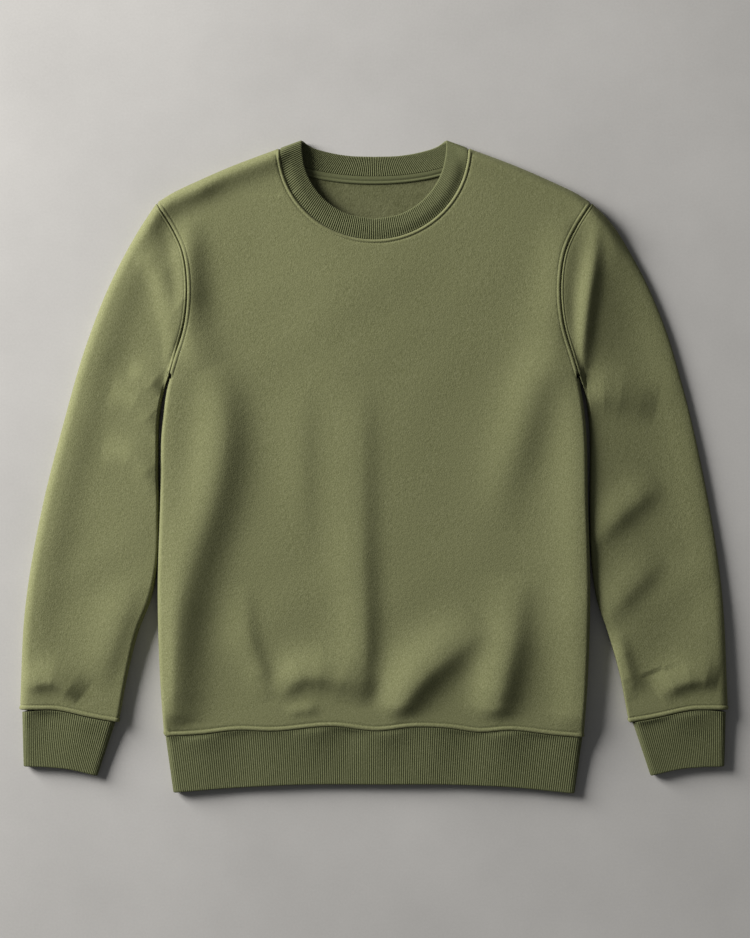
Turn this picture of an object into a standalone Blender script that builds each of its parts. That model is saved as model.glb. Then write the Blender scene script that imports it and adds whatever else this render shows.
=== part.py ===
"""A plain crewneck sweatshirt in brushed fleece with rib neck, cuffs and hem, laid flat on its back.

Metres, +Z up. +Y runs to the neck, +X to the sleeve on the right as seen from above, and the
underside lies on Z = 0. The origin is under the middle of the whole garment. Tables are in
millimetres and are turned into metres where they are read.
"""
import bmesh
import bpy
import numpy as np
from mathutils import Vector
from mathutils.geometry import delaunay_2d_cdt

MM = 0.001

# ---------------------------------------------------------------- driving sizes
FLEECE_WALL = 2.4 * MM
RIB_WALL = 3.0 * MM
TAPE_WALL = 1.2 * MM
TAPE_WIDTH = 9.0 * MM
SEAM_GAP = 0.3 * MM

# Half outline of the body, from above (x is the distance from the centre line).
SHOULDER = ((235.3, 286.0), (222.5, 294.4), (190.0, 310.3), (156.3, 325.0), (101.5, 345.7))
ARMHOLE = ((221.2, 99.0), (216.0, 116.7), (204.1, 159.0), (201.4, 197.0), (207.5, 236.1),
           (218.7, 259.9), (235.3, 286.0))
SIDE = ((227.1, -290.5), (231.2, -230.6), (233.9, -138.4), (231.2, -35.3), (228.5, 51.6),
        (224.9, 78.7), (221.2, 99.0))

# Seam between body and hem rib, and the rib's lower edge, from left to right.
HEM_SEAM = ((-227.1, -290.5), (-191.0, -288.7), (-144.3, -284.0), (-112.9, -285.1), (-42.3, -280.0),
            (3.3, -284.7), (44.5, -280.6), (82.5, -282.1), (114.0, -286.2), (146.5, -284.1),
            (196.4, -289.5), (227.1, -292.0))
HEM_EDGE = ((-217.1, -352.0), (-160.0, -347.4), (-80.0, -343.4), (0.0, -343.2), (82.5, -343.4),
            (144.8, -345.9), (217.0, -353.0))
HEM_RIB_HALF = 225.6 * MM

# The neck: half ellipses about the centre line, front and back.
NECK_SEAM_HALF = 101.5 * MM
NECK_SEAM_TOP = 345.7 * MM
NECK_SEAM_DROP_FRONT = 99.3 * MM
NECK_SEAM_DROP_BACK = 29.9 * MM
NECK_EDGE_HALF = 78.1 * MM
NECK_EDGE_TOP = 354.3 * MM
NECK_EDGE_FRONT = ((78.1, 354.3), (78.1, 346.8), (72.2, 316.9), (55.2, 291.5), (29.9, 274.6), (0.0, 268.6))
NECK_EDGE_BACK = ((78.1, 354.3), (68.4, 347.8), (52.1, 342.4), (28.2, 338.1), (0.0, 337.0))

# Sleeve edges from above, from the shoulder or the armpit down to the cuff seam.
SLEEVE_OUTER = {
    "left": ((235.3, 286.0), (256.1, 254.5), (286.5, 197.0), (311.5, 132.9), (336.4, 47.2),
             (358.7, -40.7), (377.7, -152.5), (383.2, -262.0)),
    "right": ((235.3, 286.0), (250.3, 271.9), (283.3, 221.9), (313.7, 155.2), (333.2, 91.7),
              (355.5, -2.7), (376.1, -128.6), (383.2, -262.0)),
}
SLEEVE_INNER = {
    "left": ((221.5, 99.1), (227.8, 79.5), (232.0, 51.6), (232.8, 0.0), (232.0, -45.0), (233.7, -105.0),
             (240.5, -140.0), (255.0, -178.0), (266.0, -222.0), (276.0, -275.5)),
    "right": ((221.5, 99.1), (227.8, 79.5), (232.0, 51.6), (232.8, 0.0), (232.0, -45.0), (233.7, -105.0),
              (239.0, -142.0), (252.0, -182.0), (262.6, -218.7), (274.0, -276.0)),
}
CUFF_SEAM = ((383.2, -262.0), (360.0, -261.8), (345.0, -262.2), (329.0, -265.0), (313.0, -268.8),
             (298.0, -271.8), (276.0, -275.5))
CUFF_TOP = ((380.8, -264.2), (360.0, -262.2), (345.0, -262.6), (329.0, -265.4), (313.0, -269.2),
            (298.0, -272.2), (280.0, -275.4))
CUFF_EDGE = ((379.3, -323.6), (351.0, -324.6), (330.0, -326.8), (311.0, -331.0), (299.5, -333.8))

# Heights. A fold's middle is the height where front and back meet.
BODY_FOLD_MIDDLE = 9.0 * MM
SHOULDER_FOLD_MIDDLE = 7.5 * MM
SLEEVE_OUTER_MIDDLE = 8.0 * MM
SLEEVE_INNER_MIDDLE = 3.6 * MM
SLEEVE_CUFF_MIDDLE = 6.6 * MM
RIB_FOLD_MIDDLE = 6.2 * MM
BODY_REST_HEIGHT = 13.0 * MM
BODY_PUFF = 7.0 * MM
SLEEVE_REST_HEIGHT = 13.0 * MM
SLEEVE_PUFF = 5.5 * MM
RIB_HEIGHT = 12.4 * MM
HEM_SEAM_HEIGHT = 13.0 * MM
NECK_EDGE_FALL = 2.0 * MM
BODY_ROLL = 11.0 * MM
SLEEVE_ROLL = 10.0 * MM
RIB_ROLL = 7.0 * MM

# Largest folds: the crest's points, its height, and the reach of its steep and its soft side.
# Each crest runs with the steep side on its left.
FOLD_COLUMNS = ("piece", "crest", "height", "steep", "soft")
FOLDS = (
    ("front", ((-145, 106), (-169, 30), (-197, -79), (-210, -187)), 6.0, 24, 32),
    ("front", ((-24, 79), (-26, -14), (-24, -100), (-19, -187)), 4.0, 20, 42),
    ("front", ((197, 236), (186, 149), (161, 73), (140, -3), (131, -79)), 4.5, 26, 40),
    ("front", ((-13, -252), (-28, -226), (-56, -220), (-82, -233), (-97, -256)), 5.0, 13, 24),
    ("front", ((110, -187), (77, -203), (39, -231), (12, -265)), 5.5, 14, 26),
    ("front", ((155, -133), (148, -176), (126, -231), (102, -276)), 6.5, 17, 30),
    ("front", ((-142, -133), (-132, -187), (-122, -252)), 2.5, 17, 22),
    ("left", ((-232, 2), (-265, 16), (-297, 24)), 3.0, 10, 20),
    ("left", ((-234, 54), (-254, 69), (-278, 84)), 3.0, 10, 18),
    ("left", ((-321, -235), (-349, -222), (-375, -222)), 4.0, 13, 26),
    ("left", ((-235, 257), (-228, 207), (-220, 171), (-221, 127)), 3.0, 9, 16),
    ("right", ((294, 71), (262, 86), (237, 89)), 4.5, 12, 20),
    ("right", ((291, -11), (269, -33), (243, -57)), 3.0, 11, 18),
    ("right", ((378, -222), (354, -218), (327, -225), (299, -244)), 4.5, 13, 24),
    ("right", ((227, 249), (225, 198), (220, 149), (219, 119)), 3.0, 9, 10),
)

# Mesh steps: close together where the cloth rolls over an edge, even elsewhere.
ROLL_STEPS = (0.0, 2.5 * MM, 7.0 * MM, 12.0 * MM)
SIDE_STEPS = 14
SHOULDER_STEPS = 6
ARMHOLE_MIDDLE_STEPS = 6
NECK_MIDDLE_STEPS = 5
HEM_MIDDLE_STEPS = 12
PANEL_SPACING = 30 * MM
SLEEVE_RINGS = (0.0, 0.02, 0.05, 0.09, 0.14) + tuple(np.linspace(0.2, 1.0, 13))
RIB_RINGS = (0.0, 0.15, 0.85, 1.0)

COLOURS = {"fleece": (0.185, 0.205, 0.105), "rib": (0.150, 0.175, 0.085), "tape": (0.170, 0.190, 0.100)}


# ---------------------------------------------------------------- curves
def smooth(share):
    """0 to 1 with level ends."""
    share = np.clip(share, 0.0, 1.0)
    return share * share * (3.0 - 2.0 * share)


def through(points, scale=MM, pieces=24):
    """A smooth polyline through the points."""
    points = np.array(points, float) * scale
    step = np.hypot(*np.diff(points, axis=0).T)
    reach = np.concatenate([[0.0], np.cumsum(step)])
    slope = np.gradient(points, reach, axis=0)
    where = np.linspace(0.0, reach[-1], pieces * (len(points) - 1) + 1)
    first = np.clip(np.searchsorted(reach, where, side="right") - 1, 0, len(step) - 1)
    span = step[first][:, None]
    share = ((where - reach[first]) / step[first])[:, None]
    start = (1 + 2 * share) * (1 - share) ** 2 * points[first]
    end = share ** 2 * (3 - 2 * share) * points[first + 1]
    leave = share * (1 - share) ** 2 * span * slope[first]
    arrive = share ** 2 * (share - 1) * span * slope[first + 1]
    return start + end + leave + arrive


def lengths(curve):
    return np.concatenate([[0.0], np.cumsum(np.hypot(*np.diff(curve, axis=0).T))])


def sample(curve, shares):
    """Points at the given shares of a polyline's length."""
    reach = lengths(curve)
    where = np.asarray(shares) * reach[-1]
    return np.stack([np.interp(where, reach, curve[:, axis]) for axis in (0, 1)], axis=-1)


def across(points):
    """Unit level vectors square to a row of points, as 3D vectors."""
    run = np.gradient(points, axis=0)
    square = np.stack([run[:, 1], -run[:, 0], np.zeros(len(run))], axis=-1)
    return square / np.linalg.norm(square, axis=-1, keepdims=True)


def roll_steps(length, middle, both=True):
    """Shares of a length: close steps at the rolled ends and even ones between."""
    near = np.array(ROLL_STEPS) / length
    far = 1.0 - near[::-1] if both else np.array([1.0])
    between = np.linspace(near[-1], far[0], middle + 1)[1:-1]
    return np.concatenate([near, between, far])


def nearest_on(curve, x, y):
    """Distance to a polyline, the share of the way along it, and the side (+1 on its left)."""
    run = np.diff(curve, axis=0)
    length = np.hypot(*run.T)
    reach = lengths(curve)
    best = np.full(x.shape, np.inf)
    along = np.zeros(x.shape)
    side = np.zeros(x.shape)
    for start, (rx, ry), size, before in zip(curve, run, length, reach):
        px = x - start[0]
        py = y - start[1]
        share = np.clip((px * rx + py * ry) / size ** 2, 0.0, 1.0)
        gap = np.hypot(px - share * rx, py - share * ry)
        closer = gap < best
        best = np.where(closer, gap, best)
        along = np.where(closer, (before + share * size) / reach[-1], along)
        side = np.where(closer, np.sign(rx * py - ry * px), side)
    return best, along, side


def roll(distance, radius):
    """Height share of cloth rolling over an edge: 0 at the edge, 1 from the radius inward."""
    inward = np.clip(distance / radius, 0.0, 1.0)
    return np.sqrt(1.0 - (1.0 - inward) ** 2)


def fold_heights(piece, x, y):
    """Sum of the folds of one piece at the points."""
    total = np.zeros(x.shape)
    for row in FOLDS:
        fold = dict(zip(FOLD_COLUMNS, row))
        if fold["piece"] != piece:
            continue
        gap, along, side = nearest_on(through(fold["crest"], pieces=6), x, y)
        reach = np.where(side > 0, fold["steep"], fold["soft"]) * MM
        fade = smooth(np.minimum(along, 1.0 - along) / 0.35)
        total += fold["height"] * MM * fade * np.exp(-(gap / reach) ** 2)
    return total


# ---------------------------------------------------------------- the garment's outline and heights
def neck_seam(drop, count=60):
    """Half of a neck seam, from the shoulder fold to the centre line."""
    angle = np.linspace(np.pi / 2, 0.0, count)
    return np.stack([NECK_SEAM_HALF * np.sin(angle), NECK_SEAM_TOP - drop * np.cos(angle)], axis=-1)


def fold_outline():
    """The body's folded edge on one side: side fold, and the shoulder with the rib's top beyond it."""
    top = np.concatenate([through(SHOULDER), [[NECK_EDGE_HALF, NECK_EDGE_TOP]]])
    return through(SIDE), top


def edge_distance(x, y):
    side, top = fold_outline()
    return np.minimum(nearest_on(side, np.abs(x), y)[0], nearest_on(top, np.abs(x), y)[0])


def body_middle(y):
    """Height of the body's fold middle: lower at the shoulders and at the hem."""
    shoulder = smooth((y - 0.12) / 0.16)
    hem = smooth((-0.24 - y) / 0.05)
    return BODY_FOLD_MIDDLE - (BODY_FOLD_MIDDLE - SHOULDER_FOLD_MIDDLE) * np.maximum(shoulder, hem)


def front_height(x, y):
    """Top face of the front panel."""
    distance = edge_distance(x, y)
    puff = BODY_PUFF * np.exp(-((distance - 0.020) / 0.030) ** 2)
    above_hem = nearest_on(through(HEM_SEAM), x, y)[0]
    full = BODY_REST_HEIGHT + puff + fold_heights("front", x, y)
    full = HEM_SEAM_HEIGHT + (full - HEM_SEAM_HEIGHT) * smooth(above_hem / 0.028)
    middle = body_middle(y)
    return middle + (full - middle) * roll(distance, BODY_ROLL)


def back_height(x, y):
    """Underside of the back panel: flat, and rolled up at the folds."""
    middle = body_middle(y)
    return middle * (1.0 - roll(edge_distance(x, y), middle))


# ---------------------------------------------------------------- meshes
def laid_in_seam(normal, square):
    """Wall directions laid in the seam's own plane, and where the surface allows it."""
    level = normal - (normal * square).sum(-1, keepdims=True) * square
    size = np.linalg.norm(level, axis=-1, keepdims=True)
    return np.where(size > 0.4, level / np.maximum(size, 1e-9), normal), size[..., 0] > 0.4


def set_over_line(points, line):
    """The points moved level onto a seam line, so that two walls meet face to face."""
    start = line[:-1]
    run = np.diff(line, axis=0)
    away = points[:, None, :2] - start[None]
    share = np.clip((away * run).sum(-1) / (run ** 2).sum(-1), 0.0, 1.0)
    foot = start[None] + share[..., None] * run[None]
    nearest = np.argmin(np.hypot(*(points[:, None, :2] - foot).transpose(2, 0, 1)), axis=1)
    return np.concatenate([foot[np.arange(len(points)), nearest], points[:, 2:]], axis=-1)


def material(slot):
    found = bpy.data.materials.get(slot)
    if found:
        return found
    made = bpy.data.materials.new(slot)
    made.use_nodes = True
    shader = made.node_tree.nodes["Principled BSDF"]
    shader.inputs["Base Color"].default_value = (*COLOURS[slot], 1.0)
    shader.inputs["Roughness"].default_value = 0.9
    shader.inputs["Metallic"].default_value = 0.0
    return made


def outer_normals(points, faces, faces_up):
    """Vertex normals of an open surface, pointing out of the garment."""
    skin = bmesh.new()
    corners = [skin.verts.new(point) for point in points]
    for face in faces:
        skin.faces.new([corners[index] for index in face])
    bmesh.ops.recalc_face_normals(skin, faces=skin.faces)
    skin.normal_update()
    normal = np.array([corner.normal[:] for corner in corners])
    skin.verts.index_update()
    open_edges = [[corner.index for corner in edge.verts] for edge in skin.edges if edge.is_boundary]
    skin.free()
    height = points[:, 2]
    probe = np.argmax(height) if faces_up else np.argmin(height)
    return (normal if (normal[probe, 2] > 0) == faces_up else -normal), open_edges


def shell(name, points, faces, wall, slot, seams, faces_up=True):
    """A cloth wall: the points and faces are its outer side, and its inner side lies one wall inside.

    seams lists (indices, square, line): where the wall's edge follows a seam's own plane, and the
    line seen from above that it stays over.
    """
    normal, open_edges = outer_normals(points, faces, faces_up)
    laid = []
    for indices, square, line in seams:
        normal[indices], allowed = laid_in_seam(normal[indices], square)
        laid.append((indices, allowed, line))
    inner = points - wall * normal
    for indices, allowed, line in laid:
        if line is not None:
            over_line = set_over_line(inner[indices], line)
            inner[indices] = np.where(allowed[:, None], over_line, inner[indices])

    solid = bmesh.new()
    outside = [solid.verts.new(point) for point in points]
    inside = [solid.verts.new(point) for point in inner]
    for face in faces:
        solid.faces.new([outside[index] for index in face])
        solid.faces.new([inside[index] for index in reversed(face)])
    for first, second in open_edges:
        solid.faces.new((outside[first], outside[second], inside[second], inside[first]))
    bmesh.ops.recalc_face_normals(solid, faces=solid.faces)
    mesh = bpy.data.meshes.new(name)
    solid.to_mesh(mesh)
    solid.free()
    mesh.materials.append(material(slot))
    mesh.shade_smooth()
    piece = bpy.data.objects.new(name, mesh)
    garment.objects.link(piece)
    return piece


def grid_faces(rows, columns, around):
    """Four-sided faces over a grid of points, closed round its columns or open."""
    faces = []
    for row in range(rows - 1):
        for column in range(columns if around else columns - 1):
            beside = (column + 1) % columns
            faces.append((row * columns + column, row * columns + beside,
                          (row + 1) * columns + beside, (row + 1) * columns + column))
    return faces


# ---------------------------------------------------------------- body panels
def shared_steps():
    """Shares along the armhole, the half neck and the hem that neighbouring pieces have in common."""
    arm = roll_steps(lengths(through(ARMHOLE))[-1], ARMHOLE_MIDDLE_STEPS)
    neck = roll_steps(lengths(neck_seam(NECK_SEAM_DROP_FRONT))[-1], NECK_MIDDLE_STEPS, both=False)
    hem = roll_steps(lengths(through(HEM_SEAM))[-1], HEM_MIDDLE_STEPS)
    return arm, neck, hem


def panel_outline(neck_drop):
    """A body panel's outline from above, anticlockwise from the hem's left end, by stretches."""
    arm, neck, hem = shared_steps()
    mirror = np.array([-1.0, 1.0])
    bottom = sample(through(HEM_SEAM), hem)
    side = sample(through(SIDE), np.linspace(0.0, 1.0, SIDE_STEPS + 1))
    armhole = sample(through(ARMHOLE), arm)
    shoulder = sample(through(SHOULDER), np.linspace(0.0, 1.0, SHOULDER_STEPS + 1))
    half_neck = sample(neck_seam(neck_drop), neck)
    stretches = [("hem", bottom), ("fold", side), ("seam", armhole), ("fold", shoulder),
                 ("seam", half_neck), ("seam", half_neck[::-1] * mirror), ("fold", shoulder[::-1] * mirror),
                 ("seam", armhole[::-1] * mirror), ("fold", side[::-1] * mirror)]
    outline = []
    marks = []
    for kind, points in stretches:
        marks.append((kind, len(outline), len(outline) + len(points) - 1))
        outline.extend(points[:-1])
    return np.array(outline), marks


def inside(outline, points):
    """Which points lie inside a closed outline."""
    crossings = np.zeros(len(points), int)
    for start, end in zip(outline, np.roll(outline, -1, axis=0)):
        spans = (start[1] > points[:, 1]) != (end[1] > points[:, 1])
        with np.errstate(divide="ignore", invalid="ignore"):
            reach = start[0] + (points[:, 1] - start[1]) / (end[1] - start[1]) * (end[0] - start[0])
        crossings += spans & (points[:, 0] < reach)
    return crossings % 2 == 1


def inner_points(outline, marks):
    """Points within a panel: rows that follow its folds, and an even staggered grid."""
    closed = np.concatenate([outline, outline[:1]])
    kept = np.zeros((0, 2))
    for kind, first, last in marks:
        if kind != "fold":
            continue
        run = closed[first:last + 1]
        for distance in ROLL_STEPS[1:]:
            shifted = run - across(run)[:, :2] * distance
            kept = np.concatenate([kept, shifted[np.abs(edge_distance(*shifted.T) - distance) < 0.4 * MM]])
    low = outline.min(axis=0)
    high = outline.max(axis=0)
    rise = PANEL_SPACING * 0.866
    grid = []
    for row, y in enumerate(np.arange(low[1], high[1], rise)):
        for x in np.arange(low[0] + (row % 2) * PANEL_SPACING / 2, high[0], PANEL_SPACING):
            grid.append((x, y))
    grid = np.array(grid)
    grid = grid[edge_distance(*grid.T) > ROLL_STEPS[-1] + 0.4 * PANEL_SPACING]
    kept = np.concatenate([kept, grid])
    kept = kept[inside(outline, kept)]
    room = np.where(edge_distance(*kept.T) > ROLL_STEPS[-1] + MM, 0.4 * PANEL_SPACING, 1.5 * MM)
    for kind, first, last in marks:
        if kind != "fold":
            far_enough = nearest_on(closed[first:last + 1], *kept.T)[0] > room
            kept = kept[far_enough]
            room = room[far_enough]
    return kept


def body_panel(name, neck_drop, height, faces_up):
    outline, marks = panel_outline(neck_drop)
    count = len(outline)
    plan = np.concatenate([outline, inner_points(outline, marks)])
    ring = [(index, (index + 1) % count) for index in range(count)]
    filled = delaunay_2d_cdt([Vector(point) for point in plan], ring, [], 1, 1e-7)
    faces = [tuple(filled[3][index][0] for index in face) for face in filled[2]]
    points = np.concatenate([plan, height(*plan.T)[:, None]], axis=-1)

    seams = []
    lift = SEAM_GAP / 2 if faces_up else -SEAM_GAP / 2
    order = sorted(marks, key=lambda mark: mark[0] != "fold")
    for kind, first, last in order:
        indices = np.arange(first, last + 1) % count
        if kind == "fold":
            points[indices, 2] = body_middle(plan[indices, 1]) + lift
            seams.append((indices, np.array([0.0, 0.0, 1.0]), None))
        else:
            seams.append((indices, across(plan[indices]), plan[indices]))
    shell(name, points, faces, FLEECE_WALL, "fleece", seams, faces_up)


# ---------------------------------------------------------------- tubes: sleeves, cuffs and hem
def patch(bottom, top, left, right, across_shares, up_shares):
    """Points filled in between four boundary rows of points."""
    u = across_shares[None, :, None]
    v = up_shares[:, None, None]
    corners = ((1 - u) * (1 - v) * bottom[0] + u * (1 - v) * bottom[-1]
               + (1 - u) * v * top[0] + u * v * top[-1])
    return ((1 - v) * bottom[None] + v * top[None] + (1 - u) * left[:, None] + u * right[:, None]
            - corners)


def tube_grid(plan, top, bottom):
    """Rings from a plan that is crossed once over the top and once back underneath."""
    over = np.concatenate([plan, top[..., None]], axis=-1)
    under = np.concatenate([plan, bottom[..., None]], axis=-1)[:, -2:0:-1]
    return np.concatenate([over, under], axis=1)


def tube(name, plan, top, bottom, wall, slot):
    """A flattened tube's wall, with its two ends cut along the plan's first and last rows."""
    grid = tube_grid(plan, top, bottom)
    rows, columns = grid.shape[:2]
    seams = []
    for row in (0, rows - 1):
        over = across(plan[row])
        square = np.concatenate([over, over[-2:0:-1]])
        seams.append((row * columns + np.arange(columns), square, plan[row]))
    shell(name, grid.reshape(-1, 3), grid_faces(rows, columns, around=True), wall, slot, seams)


def sleeve(which, sign):
    arm = shared_steps()[0]
    shares = 1.0 - arm[::-1]
    rings = np.array(SLEEVE_RINGS)
    turn = np.array([sign, 1.0])
    outer = through(SLEEVE_OUTER[which]) * turn
    inner = through(SLEEVE_INNER[which]) * turn
    armhole = sample(through(ARMHOLE), arm)[::-1] * turn
    outward = across(armhole)[:, :2]
    outward = outward * np.sign(outward[:, :1]) * sign
    seam = armhole + SEAM_GAP * outward
    cuff = sample(through(CUFF_SEAM) * turn, shares)
    edge_outer = sample(outer, rings)
    edge_inner = sample(inner, rings)
    edge_outer[0] = seam[0]
    edge_inner[0] = seam[-1]
    cuff[0] = edge_outer[-1]
    cuff[-1] = edge_inner[-1]
    plan = patch(seam, cuff, edge_outer, edge_inner, shares, 1.0 - (1.0 - rings) ** 3)
    x = plan[..., 0]
    y = plan[..., 1]

    from_outer = nearest_on(outer, x, y)[0]
    from_inner = nearest_on(inner, x, y)[0]
    from_outer[:, 0] = 0.0
    from_inner[:, -1] = 0.0
    near_cuff = smooth((rings[:, None] - 0.6) / 0.4)
    outer_middle = SLEEVE_OUTER_MIDDLE + (SLEEVE_CUFF_MIDDLE - SLEEVE_OUTER_MIDDLE) * near_cuff
    inner_middle = SLEEVE_INNER_MIDDLE + (SLEEVE_CUFF_MIDDLE - SLEEVE_INNER_MIDDLE) * near_cuff
    over = smooth(from_outer / (from_outer + from_inner))
    middle = outer_middle + (inner_middle - outer_middle) * over
    puff = SLEEVE_PUFF * np.exp(-((from_outer - 0.014) / 0.018) ** 2)
    full = SLEEVE_REST_HEIGHT + puff + fold_heights(which, x, y)
    top = middle + (full - middle) * roll(from_outer, SLEEVE_ROLL) * roll(from_inner, SLEEVE_ROLL)
    bottom = middle * (1.0 - roll(from_outer, outer_middle) * roll(from_inner, inner_middle))

    own = smooth(rings[:, None] / 0.12)
    top = front_height(*armhole.T)[None] * (1 - own) + top * own
    bottom = back_height(*armhole.T)[None] * (1 - own) + bottom * own
    tube(f"sleeve_{which}", plan, top, bottom, FLEECE_WALL, "fleece")


def rib_tube(name, seam, edge):
    """A rib band folded double: a flattened tube from its seam to its lower edge."""
    rings = np.array(RIB_RINGS)[:, None]
    plan = seam[None] * (1 - rings[..., None]) + edge[None] * rings[..., None]
    first = plan[:, :1]
    last = plan[:, -1:]
    from_first = np.hypot(*(plan - first).transpose(2, 0, 1))
    from_last = np.hypot(*(plan - last).transpose(2, 0, 1))
    rolled = roll(from_first, RIB_ROLL) * roll(from_last, RIB_ROLL)
    top = RIB_FOLD_MIDDLE + (RIB_HEIGHT - RIB_FOLD_MIDDLE) * rolled
    under = roll(from_first, RIB_FOLD_MIDDLE) * roll(from_last, RIB_FOLD_MIDDLE)
    bottom = RIB_FOLD_MIDDLE * (1.0 - under)
    tube(name, plan, top, bottom, RIB_WALL, "rib")


def hem_rib():
    shares = shared_steps()[2]
    seam = sample(through(HEM_SEAM), shares)
    seam[:, 0] *= HEM_RIB_HALF / seam[-1, 0]
    seam[:, 1] -= SEAM_GAP
    rib_tube("hem_rib", seam, sample(through(HEM_EDGE), shares))


def cuff(which, sign):
    shares = 1.0 - shared_steps()[0][::-1]
    turn = np.array([sign, 1.0])
    seam = sample(through(CUFF_TOP), shares) * turn
    seam[:, 1] -= SEAM_GAP
    rib_tube(f"cuff_{which}", seam, sample(through(CUFF_EDGE), shares) * turn)


# ---------------------------------------------------------------- neck
def closed_round(front, back):
    """A neck ring's points: left fold, front, right fold and round the back."""
    mirror = np.array([-1.0, 1.0])
    front_row = np.concatenate([front * mirror, front[-2::-1]])
    back_row = np.concatenate([back, back[-2:0:-1] * mirror])
    return np.concatenate([front_row, back_row[1:]]), len(front_row)


def neck_rib():
    neck = shared_steps()[1]
    inset = np.array([1.0 - 1.4 * SEAM_GAP / NECK_SEAM_HALF, 1.0])
    seam_front = sample(neck_seam(NECK_SEAM_DROP_FRONT - SEAM_GAP), neck) * inset
    seam_back = sample(neck_seam(NECK_SEAM_DROP_BACK - SEAM_GAP), neck) * inset
    seam, fronts = closed_round(seam_front, seam_back)
    edge, _ = closed_round(sample(through(NECK_EDGE_FRONT), neck), sample(through(NECK_EDGE_BACK), neck))
    rings = np.array(RIB_RINGS)[:, None]
    plan = seam[None] * (1 - rings[..., None]) + edge[None] * rings[..., None]
    x = plan[..., 0]
    y = plan[..., 1]
    z = back_height(x, y)
    at_seam = front_height(*seam[:fronts].T)[None]
    from_fold = edge_distance(x[:, :fronts], y[:, :fronts])
    full = front_height(0.0 * x[:, :fronts], 0.0 * y[:, :fronts] + NECK_SEAM_TOP - NECK_SEAM_DROP_FRONT)
    full = full - NECK_EDGE_FALL * smooth(rings)
    middle = body_middle(y[:, :fronts])
    own = middle + (full - middle) * roll(from_fold, BODY_ROLL)
    share = smooth(rings / 0.5)
    z[:, :fronts] = at_seam * (1 - share) + own * share
    grid = np.concatenate([plan, z[..., None]], axis=-1)
    rows, columns = z.shape
    seams = []
    for row in (0, rows - 1):
        indices = row * columns + np.arange(columns)
        before = plan[row, :fronts]
        behind = np.concatenate([plan[row, fronts - 1:], plan[row, :1]])
        seams.append((indices[:fronts], across(before), before))
        seams.append((indices[fronts:], across(behind)[1:-1], behind))
    shell("neck_rib", grid.reshape(-1, 3), grid_faces(rows, columns, around=True), RIB_WALL, "rib", seams)


def neck_tape():
    """A flat strip on the back panel's inside, just below the neck seam."""
    half = neck_seam(NECK_SEAM_DROP_BACK)
    half = half[half[:, 0] < 0.86 * NECK_SEAM_HALF]
    row = sample(half, np.linspace(0.0, 1.0, 9))
    row = np.concatenate([row * np.array([-1.0, 1.0]), row[-2::-1]])
    below = -across(row)[:, :2]
    below *= np.sign(-below[:, 1:])
    top = FLEECE_WALL + SEAM_GAP + TAPE_WALL
    levels = np.full((len(row), 1), top)
    start = np.concatenate([row + below * 0.5 * MM, levels], axis=-1)
    end = np.concatenate([row + below * TAPE_WIDTH, levels], axis=-1)
    strip = np.concatenate([start, end])
    shell("neck_tape", strip, grid_faces(2, len(row), around=False), TAPE_WALL, "tape", [])


# ---------------------------------------------------------------- build
for leftover in list(bpy.data.objects):
    bpy.data.objects.remove(leftover, do_unlink=True)
garment = bpy.data.collections.new("crewneck_sweatshirt")
bpy.context.scene.collection.children.link(garment)

body_panel("front", NECK_SEAM_DROP_FRONT, front_height, faces_up=True)
body_panel("back", NECK_SEAM_DROP_BACK, back_height, faces_up=False)
for which, sign in (("left", -1.0), ("right", 1.0)):
    sleeve(which, sign)
    cuff(which, sign)
hem_rib()
neck_rib()
neck_tape()
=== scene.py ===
"""The looks of a plain crewneck sweatshirt laid flat: fleece panels, ribs, seams and stitching.

Metres, +Z up. +Y runs to the neck, +X to the sleeve on the right as seen from above, and the
underside lies on Z = 0. Tables are in millimetres and are turned into metres where they are read.
"""
import math

import bpy
import numpy as np
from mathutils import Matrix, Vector
from mathutils.bvhtree import BVHTree
from mathutils.geometry import delaunay_2d_cdt


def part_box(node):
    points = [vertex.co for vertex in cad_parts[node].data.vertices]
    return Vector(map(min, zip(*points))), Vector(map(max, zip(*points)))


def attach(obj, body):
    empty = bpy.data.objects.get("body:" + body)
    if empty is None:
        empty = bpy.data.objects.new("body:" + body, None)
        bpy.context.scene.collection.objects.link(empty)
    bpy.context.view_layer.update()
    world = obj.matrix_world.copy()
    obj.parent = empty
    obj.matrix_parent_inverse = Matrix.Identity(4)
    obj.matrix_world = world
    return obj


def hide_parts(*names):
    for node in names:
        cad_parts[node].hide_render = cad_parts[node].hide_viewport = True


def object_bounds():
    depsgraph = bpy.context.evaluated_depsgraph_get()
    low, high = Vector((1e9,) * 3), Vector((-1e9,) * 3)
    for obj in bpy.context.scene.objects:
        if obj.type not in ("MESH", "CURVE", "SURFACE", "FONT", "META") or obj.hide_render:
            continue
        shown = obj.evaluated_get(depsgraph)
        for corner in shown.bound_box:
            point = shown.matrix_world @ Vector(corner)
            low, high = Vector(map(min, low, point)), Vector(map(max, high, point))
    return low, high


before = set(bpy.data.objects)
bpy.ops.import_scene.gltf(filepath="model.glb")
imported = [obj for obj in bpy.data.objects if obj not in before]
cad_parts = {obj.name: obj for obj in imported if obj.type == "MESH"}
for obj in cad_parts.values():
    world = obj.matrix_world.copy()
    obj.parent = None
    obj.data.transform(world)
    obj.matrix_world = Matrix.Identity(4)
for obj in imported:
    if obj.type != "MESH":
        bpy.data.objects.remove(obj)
CAD_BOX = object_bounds()

bl_info = {
    "name": "Crewneck Sweatshirt",
    "version": (1, 0, 0),
    "blender": (4, 5, 0),
    "location": "View3D > Sidebar > Sweatshirt",
    "description": "Builds a crewneck sweatshirt laid flat, with its ribs, seams and stitching",
    "category": "Add Mesh",
}

MM = 0.001
SEAM_GAP = 0.3 * MM

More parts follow.
